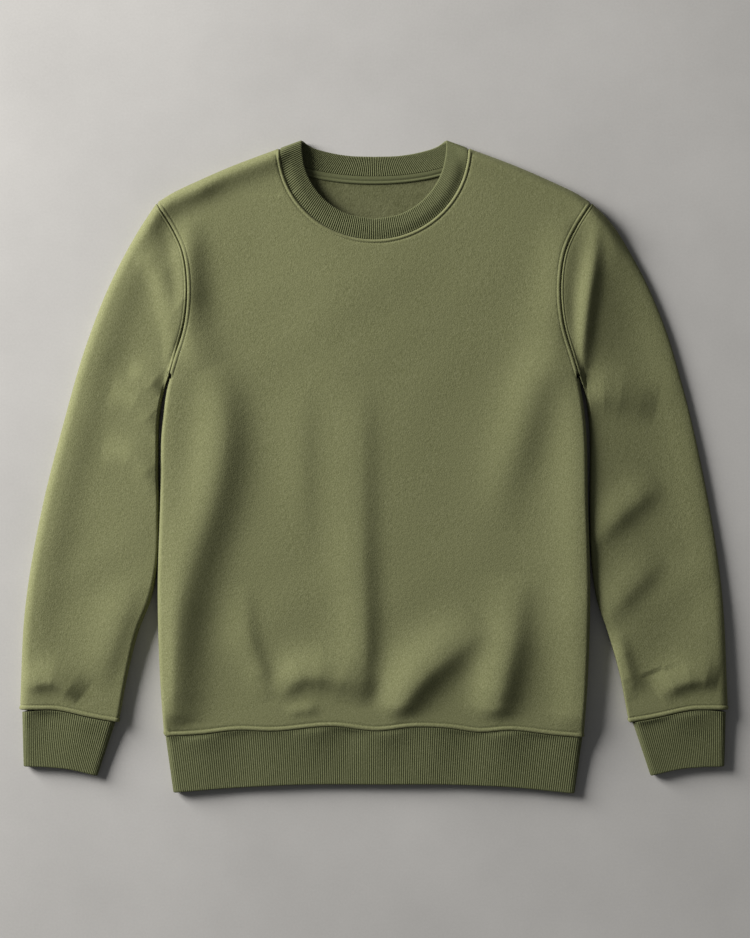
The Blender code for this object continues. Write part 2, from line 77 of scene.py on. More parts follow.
# ---------------------------------------------------------------- the cut, as on the fixed frame
# Half outline of the body, from above (x is the distance from the centre line).
SHOULDER = ((235.3, 286.0), (222.5, 294.4), (190.0, 310.3), (156.3, 325.0), (101.5, 345.7))
ARMHOLE = ((221.2, 99.0), (216.0, 116.7), (204.1, 159.0), (201.4, 197.0), (207.5, 236.1),
           (218.7, 259.9), (235.3, 286.0))
SIDE = ((227.1, -290.5), (231.2, -230.6), (233.9, -138.4), (231.2, -35.3), (228.5, 51.6),
        (224.9, 78.7), (221.2, 99.0))

# Seam between body and hem rib, and the rib's lower edge, from left to right.
HEM_SEAM = ((-227.1, -290.5), (-191.0, -288.7), (-144.3, -284.0), (-112.9, -285.1), (-42.3, -280.0),
            (3.3, -284.7), (44.5, -280.6), (82.5, -282.1), (114.0, -286.2), (146.5, -284.1),
            (196.4, -289.5), (227.1, -292.0))
HEM_EDGE = ((-217.1, -352.0), (-160.0, -347.4), (-80.0, -343.4), (0.0, -343.2), (82.5, -343.4),
            (144.8, -345.9), (217.0, -353.0))
HEM_RIB_HALF = 225.6 * MM

# The neck: half ellipses about the centre line, front and back, and the rib's free edge.
NECK_SEAM_HALF = 101.5 * MM
NECK_SEAM_TOP = 345.7 * MM
NECK_DROP_FRONT = 99.3 * MM
NECK_DROP_BACK = 29.9 * MM
NECK_EDGE_HALF = 78.1 * MM
NECK_EDGE_TOP = 354.3 * MM
NECK_EDGE_FRONT = ((78.1, 354.3), (78.1, 346.8), (72.2, 316.9), (55.2, 291.5), (29.9, 274.6), (0.0, 268.6))
NECK_EDGE_BACK = ((78.1, 354.3), (68.4, 347.8), (52.1, 342.4), (28.2, 338.1), (0.0, 337.0))

# Sleeve edges from above, from the shoulder or the armpit down to the cuff seam.
SLEEVE_OUTER = {
    "left": ((235.3, 286.0), (256.1, 254.5), (286.5, 197.0), (311.5, 132.9), (336.4, 47.2),
             (358.7, -40.7), (377.7, -152.5), (383.2, -262.0)),
    "right": ((235.3, 286.0), (250.3, 271.9), (283.3, 221.9), (313.7, 155.2), (333.2, 91.7),
              (355.5, -2.7), (376.1, -128.6), (383.2, -262.0)),
}
SLEEVE_INNER = {
    "left": ((221.5, 99.1), (227.8, 79.5), (232.0, 51.6), (232.8, 0.0), (232.0, -45.0), (233.7, -105.0),
             (240.5, -140.0), (255.0, -178.0), (266.0, -222.0), (276.0, -275.5)),
    "right": ((221.5, 99.1), (227.8, 79.5), (232.0, 51.6), (232.8, 0.0), (232.0, -45.0), (233.7, -105.0),
              (239.0, -142.0), (252.0, -182.0), (262.6, -218.7), (274.0, -276.0)),
}
CUFF_SEAM = ((383.2, -262.0), (360.0, -261.8), (345.0, -262.2), (329.0, -265.0), (313.0, -268.8),
             (298.0, -271.8), (276.0, -275.5))
CUFF_TOP = ((380.8, -264.2), (360.0, -262.2), (345.0, -262.6), (329.0, -265.4), (313.0, -269.2),
            (298.0, -272.2), (280.0, -275.4))
CUFF_EDGE = ((379.3, -323.6), (351.0, -324.6), (330.0, -326.8), (311.0, -331.0), (299.5, -333.8))

# ---------------------------------------------------------------- heights
# A fold's middle is the height where front and back meet.
BODY_FOLD_MIDDLE = 9.0 * MM
SHOULDER_FOLD_MIDDLE = 7.5 * MM
SLEEVE_OUTER_MIDDLE = 5.5 * MM
SLEEVE_INNER_MIDDLE = 3.6 * MM
SLEEVE_CUFF_MIDDLE = 6.6 * MM
RIB_FOLD_MIDDLE = 6.2 * MM
BODY_REST_HEIGHT = 13.0 * MM
HEM_SEAM_HEIGHT = 13.0 * MM
NECK_EDGE_FALL = 2.0 * MM
SIDE_ROLL = 4.0 * MM
TOP_ROLL = 11.0 * MM
SLEEVE_ROLL = 10.0 * MM
RIB_ROLL = 7.0 * MM

# Air held along the folded edges: the height, how far in it stands highest, and its reach.
# The right sleeve lies flatter than the left, and low beside the body.
PUFF_COLUMNS = ("height", "inset", "reach")
SIDE_PUFF = (4.0, 7, 24)
SHOULDER_PUFF = (4.5, 7, 13)
SLEEVE_PUFF = {"left": (3.8, 15, 22), "right": (0.8, 14, 16)}
SLEEVE_OUTER_REST = {"left": 11.0, "right": 6.8}
SLEEVE_INNER_REST = {"left": 14.0, "right": 8.0}
SLEEVE_INNER_ROLL = {"left": 3.0, "right": 3.5}

# Height of a rib band across its width, from its seam (0) to its free edge (1).
RIB_ROWS = ((0.0, 13.0), (0.12, 12.0), (0.35, 10.7), (0.6, 9.9), (0.85, 9.5), (1.0, 9.4))

# Folds: along its crest each has rows of x, y, height, and the reach of its steep and its soft
# side. A crest runs with the steep side on its left.
CREST_COLUMNS = ("x", "y", "height", "steep", "soft")
FRONT_FOLDS = (
    # down the left side, from the armhole to the hem
    ((-198, 272, 0, 16, 12), (-200, 236, 5, 16, 12), (-200, 187, 8, 18, 12), (-197, 144, 5, 24, 14),
     (-181, 106, 4, 26, 24), (-166, 68, 7, 24, 30), (-165, 24, 9.5, 25, 32), (-175, -30, 10, 26, 32),
     (-193, -90, 10, 26, 28), (-206, -144, 10, 26, 22), (-211, -193, 9, 25, 16), (-214, -241, 6, 26, 12),
     (-216, -272, 2, 24, 12)),
    # down the middle
    ((-16, 96, 0, 17, 30), (-15, 40, 2.6, 17, 32), (-15, -35, 3.6, 17, 32), (-14, -100, 4.4, 16, 30),
     (-12, -155, 5.4, 15, 28), (-11, -198, 5.6, 14, 26), (-13, -231, 4, 13, 24), (-17, -258, 0, 12, 20)),
    ((-77, 100, 0, 14, 20), (-78, 40, 1.2, 14, 22), (-78, -20, 1.4, 14, 22), (-74, -110, 0, 14, 22)),
    # from the right armhole towards the middle
    ((208, 274, 0, 10, 22), (204, 225, 4, 12, 24), (202, 182, 5, 14, 26), (193, 133, 5, 22, 30),
     (172, 79, 6, 26, 26), (155, 24, 5, 24, 26), (142, -19, 2.5, 24, 24), (135, -68, 0, 24, 24)),
    # the long crease at the lower left
    ((-142, -125, 0, 11, 20), (-140, -150, 1.6, 11, 22), (-135, -187, 3, 11, 22), (-122, -222, 3, 10, 16),
     (-114, -252, 0, 10, 14)),
    # folds gathered over the hem
    ((2, -244, 0, 11, 16), (-16, -238, 3, 12, 18), (-34, -230, 6.5, 14, 22), (-58, -224, 8, 14, 24),
     (-80, -226, 6.5, 13, 22), (-94, -238, 3, 11, 16), (-100, -252, 0, 10, 12)),
    ((-58, -268, 0, 5, 7), (-70, -263, 2.2, 5, 8), (-84, -264, 1.6, 5, 8), (-96, -268, 0, 5, 8)),
    ((120, -165, 0, 18, 26), (99, -186, 5, 19, 28), (74, -207, 9, 19, 30), (54, -224, 10.5, 18, 30),
     (39, -242, 10, 17, 26), (29, -260, 7, 15, 20), (25, -274, 2, 12, 14)),
    ((156, -115, 0, 20, 26), (152, -155, 4.5, 20, 26), (147, -190, 8, 20, 28), (141, -218, 9.5, 20, 28),
     (136, -242, 9.5, 19, 26), (132, -262, 6.5, 17, 22), (130, -276, 1, 14, 16)),
    # the broad swell of the chest, and the rise to the right side
    ((-25, 300, 1, 90, 90), (-20, 200, 3, 90, 90), (-20, 100, 2, 90, 90), (-15, -60, 0, 90, 90)),
    ((212, 150, 0, 14, 36), (222, 60, 3.5, 14, 42), (226, -40, 4.5, 14, 46), (227, -140, 4.5, 14, 46),
     (222, -250, 0, 14, 40)),
    # under the left shoulder
    ((-214, 285, 0, 7, 8), (-185, 300, 2, 8, 9), (-160, 312, 0, 7, 8)),
)
LEFT_SLEEVE_FOLDS = (
    ((-238, 276, 0, 10, 12), (-232, 250, 6, 10, 14), (-226, 215, 6, 10, 16), (-222, 180, 4, 10, 14),
     (-222, 130, 0, 10, 12)),
    ((-226, 180, 0, 9, 10), (-231, 206, 2.6, 10, 12), (-242, 221, 2.6, 10, 12), (-258, 222, 0, 9, 10)),
    ((-229, 82, 0, 8, 12), (-238, 92, 3.4, 9, 13), (-252, 100, 2.4, 9, 13), (-266, 102, 0, 8, 12)),
    ((-229, 40, 0, 11, 16), (-241, 57, 4.2, 12, 18), (-258, 70, 4, 12, 18), (-286, 78, 0, 12, 18)),
    ((-231, -26, 0, 10, 16), (-245, -4, 4.4, 11, 18), (-265, 11, 4, 12, 18), (-294, 16, 0, 12, 18)),
    ((-262, -120, 0, 16, 22), (-272, -160, 3.4, 16, 24), (-288, -205, 3, 15, 22), (-300, -240, 0, 14, 20)),
    ((-318, -250, 0, 9, 18), (-330, -240, 5, 9, 20), (-348, -231, 6.5, 9, 22), (-366, -233, 4, 9, 18),
     (-378, -240, 0, 9, 16)),
)
RIGHT_SLEEVE_FOLDS = (
    ((235, 276, 2, 8, 12), (237, 250, 6, 8, 13), (235, 215, 8, 8, 14), (230, 185, 8, 9, 14),
     (226, 150, 7, 9, 13), (223, 110, 3, 9, 12)),
    # the long fall from the body to the outer edge
    ((232, 268, 3, 30, 14), (234, 225, 7, 38, 14), (229, 180, 7.5, 42, 14), (226, 110, 5, 46, 12),
     (232, 40, 4.5, 48, 12), (240, -60, 4.5, 48, 12), (258, -160, 5, 46, 14), (282, -228, 2, 38, 14)),
    ((306, 66, 0, 17, 26), (288, 70, 3, 17, 26), (266, 76, 5.5, 17, 26), (248, 78, 5.5, 16, 24),
     (232, 76, 3, 15, 22)),
    ((310, -14, 0, 14, 22), (288, -32, 4, 14, 22), (264, -52, 4.5, 14, 22), (240, -76, 2, 13, 20)),
    ((312, -96, 0, 14, 20), (290, -118, 3.4, 14, 22), (268, -140, 3.6, 14, 22), (248, -160, 1, 13, 18)),
    ((262, -176, 0, 8, 12), (268, -200, 3, 9, 12), (274, -226, 3, 9, 12), (280, -252, 0, 9, 12)),
    ((372, -232, 0, 9, 16), (358, -229, 5, 9, 20), (340, -230, 6.5, 9, 22), (322, -236, 5, 10, 22),
     (306, -246, 0, 10, 18)),
)
# shallow creases pressed up into the underside
BACK_FOLDS = (
    ((-120, 180, 0, 14, 22), (-134, 90, 1.6, 14, 22), (-144, 0, 1.6, 14, 22), (-150, -90, 0, 14, 22)),
    ((60, 120, 0, 12, 20), (52, 20, 1.4, 12, 20), (56, -80, 1.4, 12, 20), (70, -160, 0, 12, 20)),
    ((150, 40, 0, 12, 18), (124, -60, 1.2, 12, 18), (122, -150, 1.2, 12, 18), (130, -220, 0, 12, 18)),
    ((-60, -120, 0, 10, 16), (-30, -170, 1.4, 10, 16), (-22, -210, 1.4, 10, 16), (-30, -250, 0, 10, 16)),
)
FOLDS = {
    "front": FRONT_FOLDS,
    "back": BACK_FOLDS,
    "left": LEFT_SLEEVE_FOLDS,
    "right": RIGHT_SLEEVE_FOLDS,
}

# Seam profiles: distance from the seam and how far the cloth stands out there.
ARMHOLE_BODY_RELIEF = ((0.0, -1.3), (0.4, -0.65), (0.9, 0.0), (1.7, 0.45), (2.9, 0.4), (3.7, 0.1),
                       (4.3, -0.4), (4.9, -0.1), (6.0, 0.0))
ARMHOLE_SLEEVE_RELIEF = ((0.0, -1.3), (0.4, -0.6), (0.9, 0.05), (1.6, 0.2), (2.2, 0.0), (2.7, -0.35),
                         (3.3, -0.1), (4.4, 0.0))
NECK_RELIEF = ((0.0, -1.4), (0.5, -1.0), (1.0, -0.2), (1.7, 0.35), (2.6, 0.45), (3.3, 0.15), (3.9, -0.5),
               (4.5, -0.6), (5.1, -0.2), (6.2, 0.0))
HEM_RELIEF = ((0.0, -1.0), (0.3, -0.1), (0.9, 0.55), (2.1, 0.85), (3.3, 0.7), (4.2, 0.2), (4.8, -0.5),
              (5.4, -0.35), (6.4, 0.0))
TAPE_RELIEF = ((0.0, -0.5), (0.5, 0.0), (2.6, 0.15), (4.8, 0.0), (5.5, -0.75), (6.1, -0.2), (6.9, 0.35),
               (7.8, 0.3), (8.5, -0.2), (9.0, -0.8))

FOLD_ROWS = (0.35, 1.0, 2.0, 3.4, 5.2, 7.4, 10.0)
BEYOND_SEAM_ROWS = (8.0, 10.5)
STITCH_INSET = {"armhole": 4.3, "neck": 4.4, "hem": 4.9, "cuff": 4.9}
SAMPLES_PER_WALE = 6
RIB_RELIEF_SHARE = 0.55

# Waves where a rib band is drawn in at its seam: their height and the two lengths they mix.
GATHER_HEIGHT = 1.1 * MM
GATHER_LONG = 17.0 * MM
GATHER_SHORT = 10.5 * MM

# Painted shade on the fleece's inner side: its colours are darkened partly for the shade it lies in within
# the neck and partly for its nap's own darker colour; this is how dark it is beside the fleece's face.
INSIDE_PAINTED_SHADE = 0.72


# ---------------------------------------------------------------- settings
class SweatshirtSettings(bpy.types.PropertyGroup):
    """Sizes and colours of the sweatshirt."""
    fleece_wall: bpy.props.FloatProperty(
        name="Fleece thickness", description="Thickness of the panels and sleeves",
        default=2.4 * MM, unit="LENGTH")
    rib_wall: bpy.props.FloatProperty(
        name="Rib thickness", description="Thickness of the doubled rib", default=3.0 * MM, unit="LENGTH")
    tape_wall: bpy.props.FloatProperty(
        name="Tape thickness", description="Thickness of the neck tape", default=1.2 * MM, unit="LENGTH")
    mesh_step: bpy.props.FloatProperty(
        name="Mesh step", description="Spacing of the points over the panels",
        default=3.2 * MM, unit="LENGTH")
    wale_pitch: bpy.props.FloatProperty(
        name="Rib pitch", description="Width of one raised rib and its groove",
        default=2.4 * MM, unit="LENGTH")
    wale_depth: bpy.props.FloatProperty(
        name="Rib depth", description="Depth of the grooves between ribs", default=0.95 * MM, unit="LENGTH")
    stitch_pitch: bpy.props.FloatProperty(
        name="Stitch pitch", description="Length of one stitch with its gap",
        default=3.0 * MM, unit="LENGTH")
    thread_radius: bpy.props.FloatProperty(
        name="Thread radius", description="Radius of the sewing thread", default=0.28 * MM, unit="LENGTH")
    fleece_colour: bpy.props.FloatVectorProperty(
        name="Fleece", description="Main colour of the fleece", default=(0.204, 0.212, 0.101),
        subtype="COLOR", min=0.0, max=1.0)
    fleece_light: bpy.props.FloatVectorProperty(
        name="Light fibre", description="Colour of the lightest fibres", default=(0.285, 0.287, 0.158),
        subtype="COLOR", min=0.0, max=1.0)
    fleece_dark: bpy.props.FloatVectorProperty(
        name="Dark fibre", description="Colour between the fibres", default=(0.135, 0.140, 0.061),
        subtype="COLOR", min=0.0, max=1.0)
    rib_colour: bpy.props.FloatVectorProperty(
        name="Rib", description="Main colour of the ribs", default=(0.126, 0.137, 0.065),
        subtype="COLOR", min=0.0, max=1.0)
    thread_colour: bpy.props.FloatVectorProperty(
        name="Thread", description="Colour of the sewing thread", default=(0.240, 0.250, 0.125),
        subtype="COLOR", min=0.0, max=1.0)


class StudioSettings(bpy.types.PropertyGroup):
    """The floor, the lights and the camera."""
    floor_colour: bpy.props.FloatVectorProperty(
        name="Floor", description="Colour of the plain floor", default=(0.560, 0.548, 0.530),
        subtype="COLOR", min=0.0, max=1.0)
    key_power: bpy.props.FloatProperty(
        name="Key power", description="Power of the main soft light", default=236.0, unit="POWER")
    key_size: bpy.props.FloatProperty(
        name="Key size", description="Side of the main soft light", default=1.7, unit="LENGTH")
    key_distance: bpy.props.FloatProperty(
        name="Key distance", description="Distance of the main light", default=3.4, unit="LENGTH")
    key_azimuth: bpy.props.FloatProperty(
        name="Key azimuth", description="Direction of the main light from +X", default=math.radians(152.0),
        subtype="ANGLE")
    key_elevation: bpy.props.FloatProperty(
        name="Key elevation", description="Height angle of the main light", default=math.radians(21.5),
        subtype="ANGLE")
    fill_strength: bpy.props.FloatProperty(
        name="Fill", description="Strength of the light from all round", default=0.09, min=0.0)
    camera_height: bpy.props.FloatProperty(
        name="Camera height", description="Height of the camera over the garment",
        default=2.5, unit="LENGTH")
    view_height: bpy.props.FloatProperty(
        name="View height", description="Length of floor that the picture shows",
        default=1.018, unit="LENGTH")


# ---------------------------------------------------------------- curves
def smooth(share):
    """0 to 1 with level ends."""
    share = np.clip(share, 0.0, 1.0)
    return share * share * (3.0 - 2.0 * share)


def through(points, scale=MM, pieces=24):
    """A smooth polyline through the points."""
    points = np.array(points, float) * scale
    step = np.hypot(*np.diff(points, axis=0).T)
    reach = np.concatenate([[0.0], np.cumsum(step)])
    slope = np.gradient(points, reach, axis=0)
    where = np.linspace(0.0, reach[-1], pieces * (len(points) - 1) + 1)
    first = np.clip(np.searchsorted(reach, where, side="right") - 1, 0, len(step) - 1)
    span = step[first][:, None]
    share = ((where - reach[first]) / step[first])[:, None]
    start = (1 + 2 * share) * (1 - share) ** 2 * points[first]
    end = share ** 2 * (3 - 2 * share) * points[first + 1]
    leave = share * (1 - share) ** 2 * span * slope[first]
    arrive = share ** 2 * (share - 1) * span * slope[first + 1]
    return start + end + leave + arrive


def lengths(curve):
    """Length along a polyline at each of its points."""
    return np.concatenate([[0.0], np.cumsum(np.linalg.norm(np.diff(curve, axis=0), axis=-1))])


def sample(curve, shares):
    """Points at the given shares of a polyline's length."""
    reach = lengths(curve)
    where = np.asarray(shares) * reach[-1]
    return np.stack([np.interp(where, reach, axis) for axis in curve.T], axis=-1)


def even_shares(curve, step):
    """Shares about one step apart along a curve."""
    return np.linspace(0.0, 1.0, max(2, int(round(lengths(curve)[-1] / step)) + 1))


def across(points):
    """Unit level vectors square to a row of points, as 3D vectors."""
    run = np.gradient(points, axis=0)
    square = np.stack([run[:, 1], -run[:, 0], np.zeros(len(run))], axis=-1)
    return square / np.linalg.norm(square, axis=-1, keepdims=True)


def across_at(curve, shares):
    """Unit level vectors square to a curve at the given shares of its length."""
    reach = lengths(curve)
    normals = across(curve)
    where = np.asarray(shares) * reach[-1]
    found = np.stack([np.interp(where, reach, axis) for axis in normals.T], axis=-1)
    return found / np.linalg.norm(found, axis=-1, keepdims=True)


def nearest_on(curve, x, y):
    """Distance to a polyline, the share of the way along it, and the side (+1 on its left)."""
    run = np.diff(curve, axis=0)
    length = np.hypot(*run.T)
    reach = lengths(curve)
    best = np.full(x.shape, np.inf)
    along = np.zeros(x.shape)
    side = np.zeros(x.shape)
    for start, (rx, ry), size, before in zip(curve, run, length, reach):
        px = x - start[0]
        py = y - start[1]
        share = np.clip((px * rx + py * ry) / size ** 2, 0.0, 1.0)
        gap = np.hypot(px - share * rx, py - share * ry)
        closer = gap < best
        best = np.where(closer, gap, best)
        along = np.where(closer, (before + share * size) / reach[-1], along)
        side = np.where(closer, rx * py - ry * px, side)
    return best, along, np.sign(side)


def roll(distance, radius):
    """Height share of cloth rolling over an edge: 0 at the edge, 1 from the radius inward."""
    inward = np.clip(distance / radius, 0.0, 1.0)
    return np.sqrt(1.0 - (1.0 - inward) ** 2)


def neck_seam(drop, count=90):
    """Half of a neck seam, from the shoulder fold to the centre line."""
    angle = np.linspace(np.pi / 2, 0.0, count)
    return np.stack([NECK_SEAM_HALF * np.sin(angle), NECK_SEAM_TOP - drop * np.cos(angle)], axis=-1)


SIDE_CURVE = through(SIDE, pieces=12)
SHOULDER_CURVE = through(SHOULDER, pieces=12)
TOP_CURVE = np.concatenate([SHOULDER_CURVE, [[NECK_EDGE_HALF, NECK_EDGE_TOP]]])
ARMHOLE_CURVE = through(ARMHOLE, pieces=16)
HEM_CURVE = through(HEM_SEAM, pieces=10)


# ---------------------------------------------------------------- the garment's heights
def fold_heights(piece, x, y):
    """Sum of the folds of one piece at the points."""
    total = np.zeros(x.shape)
    for crest in FOLDS[piece]:
        rows = dict(zip(CREST_COLUMNS, np.array(crest, float).T))
        line = through(np.stack([rows["x"], rows["y"]], axis=-1), pieces=4)
        gap, along, side = nearest_on(line, x, y)
        marks = lengths(np.stack([rows["x"], rows["y"]], axis=-1))
        marks = marks / marks[-1]
        height = np.interp(along, marks, rows["height"])
        steep = np.interp(along, marks, rows["steep"])
        soft = np.interp(along, marks, rows["soft"])
        reach = np.where(side > 0, steep, soft)
        ends = np.where((along <= 0.0) | (along >= 1.0), np.exp(-(gap / (12 * MM)) ** 2), 1.0)
        total += height * MM * np.exp(-(gap / (reach * MM)) ** 2) * np.minimum(ends, 1.0)
    return total


def puffed(puff, distance):
    """Height of the air held along a folded edge."""
    size = dict(zip(PUFF_COLUMNS, puff))
    return size["height"] * MM * np.exp(-((distance - size["inset"] * MM) / (size["reach"] * MM)) ** 2)


def ripple(x, y, height, wave):
    """Faint uneven waves, as in cloth that was smoothed by hand."""
    u = x / wave
    v = y / wave
    waves = np.sin(5.1 * u + 1.9 * np.sin(2.3 * v)) * np.sin(3.7 * v + 1.3 * np.sin(2.9 * u + 1.0))
    return height * (waves + 0.5 * np.sin(8.3 * u - 6.1 * v + 2.0 * np.sin(3.1 * v)))


def edge_distance(x, y):
    """Distance to the body's folded edge."""
    side = nearest_on(SIDE_CURVE, np.abs(x), y)[0]
    return np.minimum(side, nearest_on(TOP_CURVE, np.abs(x), y)[0])


def body_middle(y):
    """Height of the body's fold middle: lower at the shoulders and at the hem."""
    shoulder = smooth((y - 0.12) / 0.16)
    hem = smooth((-0.24 - y) / 0.05)
    return BODY_FOLD_MIDDLE - (BODY_FOLD_MIDDLE - SHOULDER_FOLD_MIDDLE) * np.maximum(shoulder, hem)


def front_height(x, y):
    """Top face of the front panel, without its seams."""
    side = nearest_on(SIDE_CURVE, np.abs(x), y)[0]
    top = nearest_on(TOP_CURVE, np.abs(x), y)[0]
    full = BODY_REST_HEIGHT + puffed(SIDE_PUFF, side) + puffed(SHOULDER_PUFF, top)
    full = full + fold_heights("front", x, y) + ripple(x, y, 0.25 * MM, 0.14)
    above_hem = nearest_on(HEM_CURVE, x, y)[0]
    full = HEM_SEAM_HEIGHT + (full - HEM_SEAM_HEIGHT) * smooth(above_hem / 0.026)
    middle = body_middle(y)
    return middle + (full - middle) * roll(side, SIDE_ROLL) * roll(top, TOP_ROLL)


def back_height(x, y):
    """Underside of the back panel, without its seams: flat, and rolled up at the folds."""
    middle = body_middle(y)
    distance = edge_distance(x, y)
    creases = fold_heights("back", x, y) * smooth(distance / 0.03)
    return middle * (1.0 - roll(distance, middle)) + creases


def relief_at(profile, distance):
    """How far the cloth stands out beside a seam."""
    where, height = np.array(profile).T * MM
    return np.interp(distance, where, height)


def pressed(relief, normal):
    """Relief that doesn't stand out where the cloth lies on the floor."""
    return np.where(relief > 0.0, relief * smooth((normal[:, 2] + 0.98) / 0.6), relief)


# ---------------------------------------------------------------- meshes
def grid_faces(rows, columns, around):
    """Four-sided faces over a grid of points, closed round its columns or open."""
    row = np.arange(rows - 1)[:, None]
    column = np.arange(columns if around else columns - 1)[None]
    beside = (column + 1) % columns
    corners = [row * columns + column, row * columns + beside,
               (row + 1) * columns + beside, (row + 1) * columns + column]
    return np.stack(corners, axis=-1).reshape(-1, 4)


def vertex_normals(points, faces):
    """Unit vertex normals, weighted by area."""
    corners = points[faces]
    if faces.shape[1] == 4:
        normal = np.cross(corners[:, 2] - corners[:, 0], corners[:, 3] - corners[:, 1])
    else:
        normal = np.cross(corners[:, 1] - corners[:, 0], corners[:, 2] - corners[:, 0])
    owners = faces.ravel()
    spread = np.repeat(normal, faces.shape[1], axis=0)
    total = np.stack([np.bincount(owners, axis, len(points)) for axis in spread.T], axis=-1)
    return total / np.maximum(np.linalg.norm(total, axis=-1, keepdims=True), 1e-12)


def turned_out(points, faces, faces_up):
    """The faces turned so that their normals point out of the garment."""
    normal = vertex_normals(points, faces)
    probe = np.argmax(points[:, 2]) if faces_up else np.argmin(points[:, 2])
    return faces if (normal[probe, 2] > 0) == faces_up else faces[:, ::-1]


def open_edges(faces, count):
    """Edges that only one face has, along that face."""
    start = faces.ravel()
    end = np.roll(faces, -1, axis=1).ravel()
    shared = np.isin(start * count + end, end * count + start)
    return np.stack([start, end], axis=-1)[~shared]


def laid_in_seam(normal, square):
    """Wall directions laid in the seam's own plane, and where the surface allows it."""
    level = normal - (normal * square).sum(-1, keepdims=True) * square
    size = np.linalg.norm(level, axis=-1, keepdims=True)
    return np.where(size > 0.4, level / np.maximum(size, 1e-9), normal), size[..., 0] > 0.4


def set_over_line(points, line):
    """The points moved level onto a seam line, so that two walls meet face to face."""
    start = line[:-1]
    run = np.diff(line, axis=0)
    away = points[:, None, :2] - start[None]
    share = np.clip((away * run).sum(-1) / (run ** 2).sum(-1), 0.0, 1.0)
    foot = start[None] + share[..., None] * run[None]
    nearest = np.argmin(np.linalg.norm(points[:, None, :2] - foot, axis=-1), axis=1)
    return np.concatenate([foot[np.arange(len(points)), nearest], points[:, 2:]], axis=-1)


def skins(points, faces, wall, relief, seams, inner_relief=0.0):
    """Outer and inner side of a cloth wall whose plain outer form is given.

    relief is how far the outer side stands out of that form at each point. seams lists (indices,
    square, line): where the wall's edge follows a seam's own plane, and the line it stays over.
    """
    normal = vertex_normals(points, faces)
    laid = []
    for indices, square, line in seams:
        normal[indices], allowed = laid_in_seam(normal[indices], square)
        laid.append((indices, allowed, line))
    outer = points + pressed(relief, normal)[:, None] * normal
    inner = points - (wall + inner_relief)[..., None] * normal
    for indices, allowed, line in laid:
        if line is not None:
            over_line = set_over_line(inner[indices], line)
            inner[indices] = np.where(allowed[:, None], over_line, inner[indices])
    return outer, inner


def rounded_edge(outer, inner, distance, radius):
    """Both sides drawn together towards a free edge, so that it ends in a round."""
    share = np.maximum(roll(distance, radius), 0.15)[:, None]
    middle = (outer + inner) / 2
    return middle + (outer - middle) * share, middle + (inner - middle) * share


def closed_wall(name, outer, inner, faces, materials):
    """A closed piece from its two sides. Its inner side takes the second material."""
    count = len(outer)
    rim = open_edges(faces, count)
    band = np.stack([rim[:, 1], rim[:, 0], rim[:, 0] + count, rim[:, 1] + count], axis=-1)
    mesh = bpy.data.meshes.new(name)
    sides = faces.tolist() + (faces[:, ::-1] + count).tolist() + band.tolist()
    mesh.from_pydata(np.concatenate([outer, inner]).tolist(), [], sides)
    for material in materials:
        mesh.materials.append(material)
    slots = np.zeros(len(sides), np.int32)
    slots[len(faces):2 * len(faces)] = len(materials) - 1
    mesh.polygons.foreach_set("material_index", slots)
    mesh.validate()
    mesh.shade_smooth()
    piece = bpy.data.objects.new(name, mesh)
    bpy.context.scene.collection.objects.link(piece)
    return piece


def dressed(piece, node):
    """The piece rides on the garment in place of its plain solid."""
    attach(piece, "root")
    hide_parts(node)
    low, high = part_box(node)
    reach = 0.012
    for corner in piece.bound_box:
        for axis in range(3):
            if not low[axis] - reach <= corner[axis] <= high[axis] + reach:
                raise ValueError(f"{piece.name} strays from its place on the garment")


# ---------------------------------------------------------------- body panels
def panel_stretches(neck_drop):
    """A body panel's outline from above, anticlockwise from the hem's left end, by stretches."""
    mirror = np.array([-1.0, 1.0])
    half_neck = neck_seam(neck_drop)
    return [("hem", HEM_CURVE), ("fold", SIDE_CURVE), ("armhole", ARMHOLE_CURVE), ("fold", SHOULDER_CURVE),
            ("neck", half_neck), ("neck", half_neck[::-1] * mirror), ("fold", SHOULDER_CURVE[::-1] * mirror),
            ("armhole", ARMHOLE_CURVE[::-1] * mirror), ("fold", SIDE_CURVE[::-1] * mirror)]


def row_distances(kind):
    """Distances from a stretch of the outline at which the panel has rows of points."""
    profiles = {"hem": HEM_RELIEF, "armhole": ARMHOLE_BODY_RELIEF, "neck": NECK_RELIEF}
    if kind == "fold":
        return FOLD_ROWS
    return tuple(row[0] for row in profiles[kind][1:]) + BEYOND_SEAM_ROWS


def inside(outline, points):
    """Which points lie inside a closed outline."""
    crossings = np.zeros(len(points), int)
    for start, end in zip(outline, np.roll(outline, -1, axis=0)):
        spans = (start[1] > points[:, 1]) != (end[1] > points[:, 1])
        with np.errstate(divide="ignore", invalid="ignore"):
            reach = start[0] + (points[:, 1] - start[1]) / (end[1] - start[1]) * (end[0] - start[0])
        crossings += spans & (points[:, 0] < reach)
    return crossings % 2 == 1


